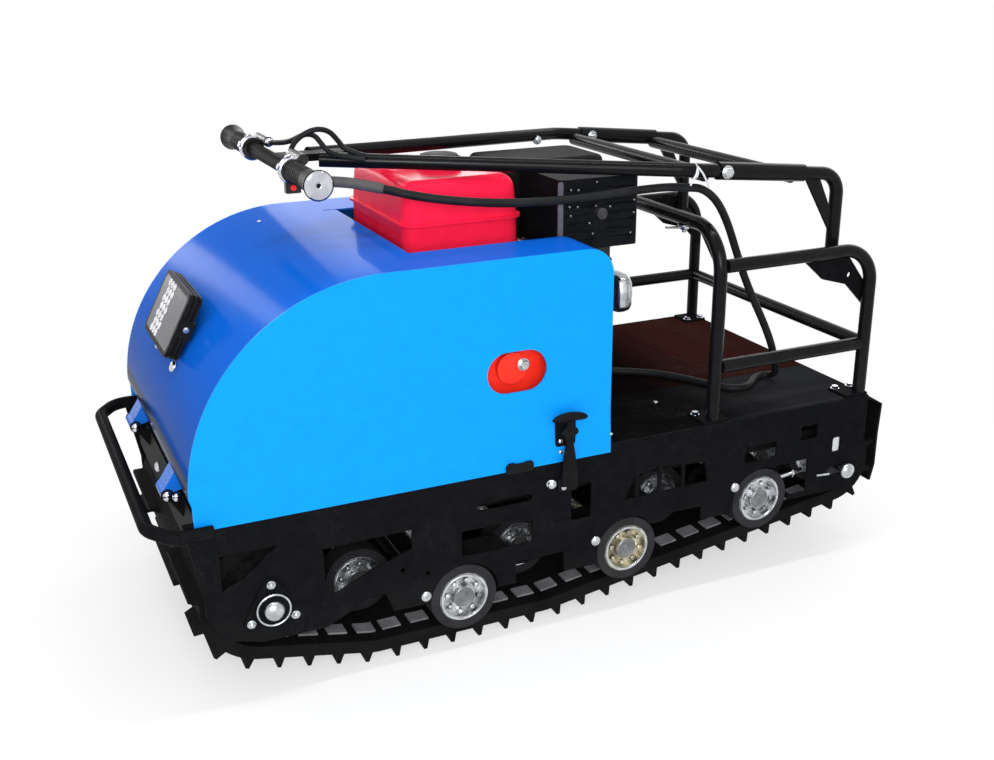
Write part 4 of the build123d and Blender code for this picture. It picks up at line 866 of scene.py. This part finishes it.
# Tow lever: sleeve and arm bolts, and a white tie with two tails round the harness
SLEEVE_BOLT_X = -289
SLEEVE_NUT_X = -300
sleeve_bolt = (SLEEVE_BOLT_X, LEG_LINE + LEG_RADIUS, sleeve_height(SLEEVE_BOLT_X), LEFT, 1.15)
sleeve_nut = (SLEEVE_NUT_X, LEG_LINE - LEG_RADIUS, sleeve_height(SLEEVE_NUT_X), RIGHT, 1.0)
piece("lever_bolts", joined(
    placed(hex_head, both_sides([sleeve_bolt])),
    placed(stud_nut, both_sides([sleeve_nut])),
    placed(stud_nut, [(-176, -195.5, 703, (0.35, 0.93, 0), 0.9)])), zinc_steel, "lever")
TIE_X = -236
TIE_KNOT = (TIE_X, 236, 714)
FRONT_TAIL = (TIE_KNOT, (-232, 239, 704), (-227, 238, 694), (-224, 236, 686))
REAR_TAIL = (TIE_KNOT, (-243, 240, 704), (-251, 240, 691), (-258, 236, 680))
piece("harness_tie", joined(
    placed(ring(11.6, 1.3, 30), [(TIE_X, LEG_LINE, 705.5, (1, 0, 0.05), 1)]),
    *[carried(tail, circle(1.5, 8), (0.9, 0.1, 0.3)) for tail in (FRONT_TAIL, REAR_TAIL)]), tie_white,
    "lever")

# Rack: bolt pairs on the feet, and a nut with a rod under the hoop
foot_bolts = [(x + dx, 233, 304, UP, 0.85) for x in (-272, -561) for dx in (16, -16)]
piece("foot_bolts", placed(hex_head, both_sides(foot_bolts)), chrome, "chassis")
piece("hoop_stay", joined(
    placed(stud_nut, both_sides([(-272, 152, 604.5, (0, 0, -1), 1.15)])),
    mirrored(bar((-272, 152, 600), (-238, 150, 603), 2.0))), zinc_steel, "chassis")

# Engine top: the guard's corner strip of painted highlight, its rivets, its lining as a dark sheet of painted
# shade, the tank's cap grip and tap, and the starter's bolt
GUARD_FACE = 168
GUARD_RIVETS = (
    (-54, 682), (-67, 681), (-52, 656), (-66, 655), (-98, 654), (-123, 651), (-54, 642), (-87, 628),
    (-99, 691), (-166, 658), (-166, 638), (-161, 606), (-93, 611),
)
CAP = (89, -15)
CAP_RIB_CIRCLE = 34
guard_rivets = [(x, GUARD_FACE, z, LEFT, 0.6) for x, z in GUARD_RIVETS]
cap_ribs = [(CAP[0] + CAP_RIB_CIRCLE * math.cos(t), CAP[1] + CAP_RIB_CIRCLE * math.sin(t), 712, UP, 1)
            for t in even_turns(26)]
# Painted highlight: a pale strip down the guard's front corner edge
piece("guard_corner_highlight", placed(block(9, 2.4, 108, 0.2), [(-35.5, GUARD_FACE + 0.6, 642, UP, 1)]), painted_highlight_grey,
      "chassis")
piece("guard_rivets", placed(rivet_head, guard_rivets), boss_grey, "chassis")
# A dark sheet behind the guard's slots, standing in for the shade inside the guard
piece("guard_shade_sheet", placed(block(136, 2, 104, 0.12), [(-105, 163.5, 642, UP, 1)]), guard_black, "chassis")
piece("tank_cap_grip", joined(
    placed(block(4.2, 4.2, 12, 0.4, 7, 10), cap_ribs),
    placed(turned(((0, -1), (31, -1), (30, 2.0), (24, 3.6), (0, 4.4)), 30), [(*CAP, 720, UP, 1)])),
    black_plastic, "chassis")
fuel_tap = turned(((0, -6), (5, -6), (5, 2), (8, 3), (8, 9), (5, 10), (5, 17), (3, 19), (3, 28), (0, 28)), 14)
piece("fuel_tap", placed(fuel_tap, [(4, 108, 596, (-1, 0.15, -0.45), 1)]), zinc_steel, "chassis")
piece("starter_bolts", placed(hex_head, [(69, 255, 447, LEFT, 1.1)]), zinc_steel, "chassis")

# Engine sides: head fins, rocker cover, plug shroud, ribs, drive case lid, bolts, mounts and fillers
HEAD_Y = -20
ROCKER_LEVEL = 486
CRANK_LEVEL = 443
CRANKCASE_FRONT = 199
CASE = (370, 372)
CASE_HALF = 100
BLOCK_HALF = 150
fins = [(-108, HEAD_Y, z, UP, 1) for z in range(404, 556, 12)]
piece("head_fins", placed(block(122, 264, 4.4, 0.16), fins), cast_engine, "chassis")
piece("rocker_cover", placed(block(30, 168, 118, 0.28), [(-170, HEAD_Y, ROCKER_LEVEL, UP, 1)]), boss_grey,
      "chassis")
piece("plug_shroud", placed(block(34, 64, 64, 0.55), [(-173, 110, 494, UP, 1)]), zinc_steel, "chassis")
crank_cover = turned(((0, -2), (52, -2), (52, 6), (47, 10), (26, 12), (22, 20), (0, 21)), 36)
piece("crankcase_ribs", joined(
    placed(block(14, 6, 214, 0.2), [(CRANKCASE_FRONT, y, 416, UP, 1) for y in np.linspace(-120, 120, 9)]),
    placed(block(12, 288, 14, 0.2), [(CRANKCASE_FRONT + 2, 0, z, UP, 1) for z in (318, 516)]),
    placed(crank_cover, [(CRANKCASE_FRONT, 0, CRANK_LEVEL, FORWARD, 1)])), cast_engine, "chassis")
case_cover = turned(((0, -2), (58, -2), (58, 8), (52, 13), (30, 15), (26, 24), (0, 25)), 36)
piece("drive_case_lid", joined(
    placed(block(274, 212, 13, 0.12), [(369.5, 0, 451, UP, 1)]),
    placed(block(9, 214, 140, 0.2), [(x, 0, 368, UP, 1) for x in (262, 316, 424, 478)]),
    placed(case_cover, both_sides([(CASE[0], CASE_HALF, CASE[1], LEFT, 1)]))), cast_engine, "chassis")
rocker_bolts = [(-183, HEAD_Y + dy, ROCKER_LEVEL + dz, (-1, 0, 0), 0.7)
                for dy in (-62, 62) for dz in (-38, 38)]
lid_bolts = [(x, y, 457.5, UP, 0.9) for x in (244, 328, 412, 496) for y in (-92, 92)]
crank_bolts = [(CRANKCASE_FRONT + 11, 40 * math.cos(t), CRANK_LEVEL + 40 * math.sin(t), FORWARD, 0.7)
               for t in even_turns(6)]
case_bolts = circle_places((CASE[0], CASE_HALF + 7, CASE[1]), 50, even_turns(6), 0.7)
block_bolts = [(x, BLOCK_HALF, z, LEFT, 1.0) for x in (-36, 184) for z in (312, 552)]
piece("engine_bolts", joined(
    placed(hex_head, rocker_bolts + lid_bolts + crank_bolts),
    placed(hex_head, both_sides(case_bolts + block_bolts))), zinc_steel, "chassis")
piece("engine_mounts", placed(block(318, 34, 14, 0.15), [(74, y, 307, UP, 1) for y in (-172, 172)]),
      plate_black, "chassis")
mount_bolts = [(x, 176, 314, UP, 1.2) for x in (-66, 214)]
piece("mount_bolts", placed(hex_head, both_sides(mount_bolts)), zinc_steel, "chassis")
filler = turned(((0, -4), (15, -4), (15, 6), (20, 7), (20, 17), (17, 20), (0, 21)), 20)
fillers = [(150, -BLOCK_HALF, 352, (0, -1, 0.2), 1), (280, 40, 457, UP, 1)]
piece("oil_fillers", placed(filler, fillers), black_plastic, "chassis")
deck_screws = [(-92, 240, DECK, UP, 0.55), (-233, 148, DECK, UP, 0.5)]
piece("deck_screws", placed(dome_head, both_sides(deck_screws)), zinc_steel, "chassis")

# Light, background and floor
LIGHT_TARGET = (0.0, 0.0, 0.45)
STUDIO_LIGHTS = (
    # name, place, length, width, power
    ("key_box", (0.95, 2.9, 1.5), 2.2, 1.8, 60),
    ("near_fill", (0.86, 1.95, 1.14), 0.4, 0.4, 9),
    ("top_strip", (-0.1, 0.5, 3.0), 3.0, 0.09, 28),
    ("far_window", (-0.75, -3.0, 1.35), 1.1, 0.9, 13),
    ("far_strip", (0.98, -3.0, 1.2), 0.30, 1.8, 17),
    ("rear_box", (-2.6, -1.2, 2.0), 1.8, 1.8, 16),
)


def seen_rays(tree):
    """1 for the rays that show a background: camera, glossy and transmission rays."""
    rays = tree.nodes.new("ShaderNodeLightPath")
    camera, glossy, through = (rays.outputs[f"Is {kind} Ray"]
                               for kind in ("Camera", "Glossy", "Transmission"))
    return sums(tree, "MAXIMUM", sums(tree, "MAXIMUM", camera, glossy), through)


def light_world():
    """White where it is seen, and a softer even light on the object."""
    world = bpy.data.worlds.new("studio_white")
    scene.world = world
    world.use_nodes = True
    tree = world.node_tree
    sky = tree.nodes["Background"]
    sky.inputs["Color"].default_value = (1, 1, 1, 1)
    tree.links.new(span(tree, seen_rays(tree), 0.0, 1.0, 0.62, 1.0), sky.inputs["Strength"])


def hang_lights():
    """Soft boxes and strips aimed at the object; the top strip points straight down."""
    for name, place, length, width, power in STUDIO_LIGHTS:
        lamp = bpy.data.lights.new(name, "AREA")
        lamp.shape = "RECTANGLE"
        lamp.size = length
        lamp.size_y = width
        lamp.energy = power
        obj = bpy.data.objects.new(name, lamp)
        obj.location = place
        aim = np.array(LIGHT_TARGET) - np.array(place)
        tip = math.atan2(math.hypot(aim[0], aim[1]), -aim[2])
        turn = math.atan2(aim[1], aim[0]) - math.pi / 2
        obj.rotation_euler = (0, 0, 0) if name == "top_strip" else (tip, 0, turn)
        obj.visible_camera = False
        scene.collection.objects.link(obj)


def lay_floor(half=9.0):
    """Pale floor that keeps the shadow near the object and fades to white away from it."""
    corners = [(-half, -half, 0), (half, -half, 0), (half, half, 0), (-half, half, 0)]
    mesh = bpy.data.meshes.new("studio_floor")
    mesh.from_pydata(corners, [], [(0, 1, 2, 3)])
    floor = bpy.data.objects.new("studio_floor", mesh)
    scene.collection.objects.link(floor)
    material = bpy.data.materials.new("studio_floor")
    material.use_nodes = True
    tree = material.node_tree
    shader = tree.nodes["Principled BSDF"]
    shader.inputs["Base Color"].default_value = (0.92, 0.92, 0.92, 1)
    shader.inputs["Roughness"].default_value = 0.9
    glow = tree.nodes.new("ShaderNodeEmission")
    far = tree.nodes.new("ShaderNodeVectorMath")
    far.operation = "LENGTH"
    tree.links.new(object_place(tree), far.inputs[0])
    fade = sums(tree, "MULTIPLY", span(tree, far.outputs["Value"], 0.7, 1.5, 0.55, 1.0), seen_rays(tree))
    blend = tree.nodes.new("ShaderNodeMixShader")
    tree.links.new(fade, blend.inputs[0])
    tree.links.new(shader.outputs[0], blend.inputs[1])
    tree.links.new(glow.outputs[0], blend.inputs[2])
    tree.links.new(blend.outputs[0], tree.nodes["Material Output"].inputs["Surface"])
    mesh.materials.append(material)


light_world()
hang_lights()
lay_floor()
scene.view_settings.view_transform = "Standard"
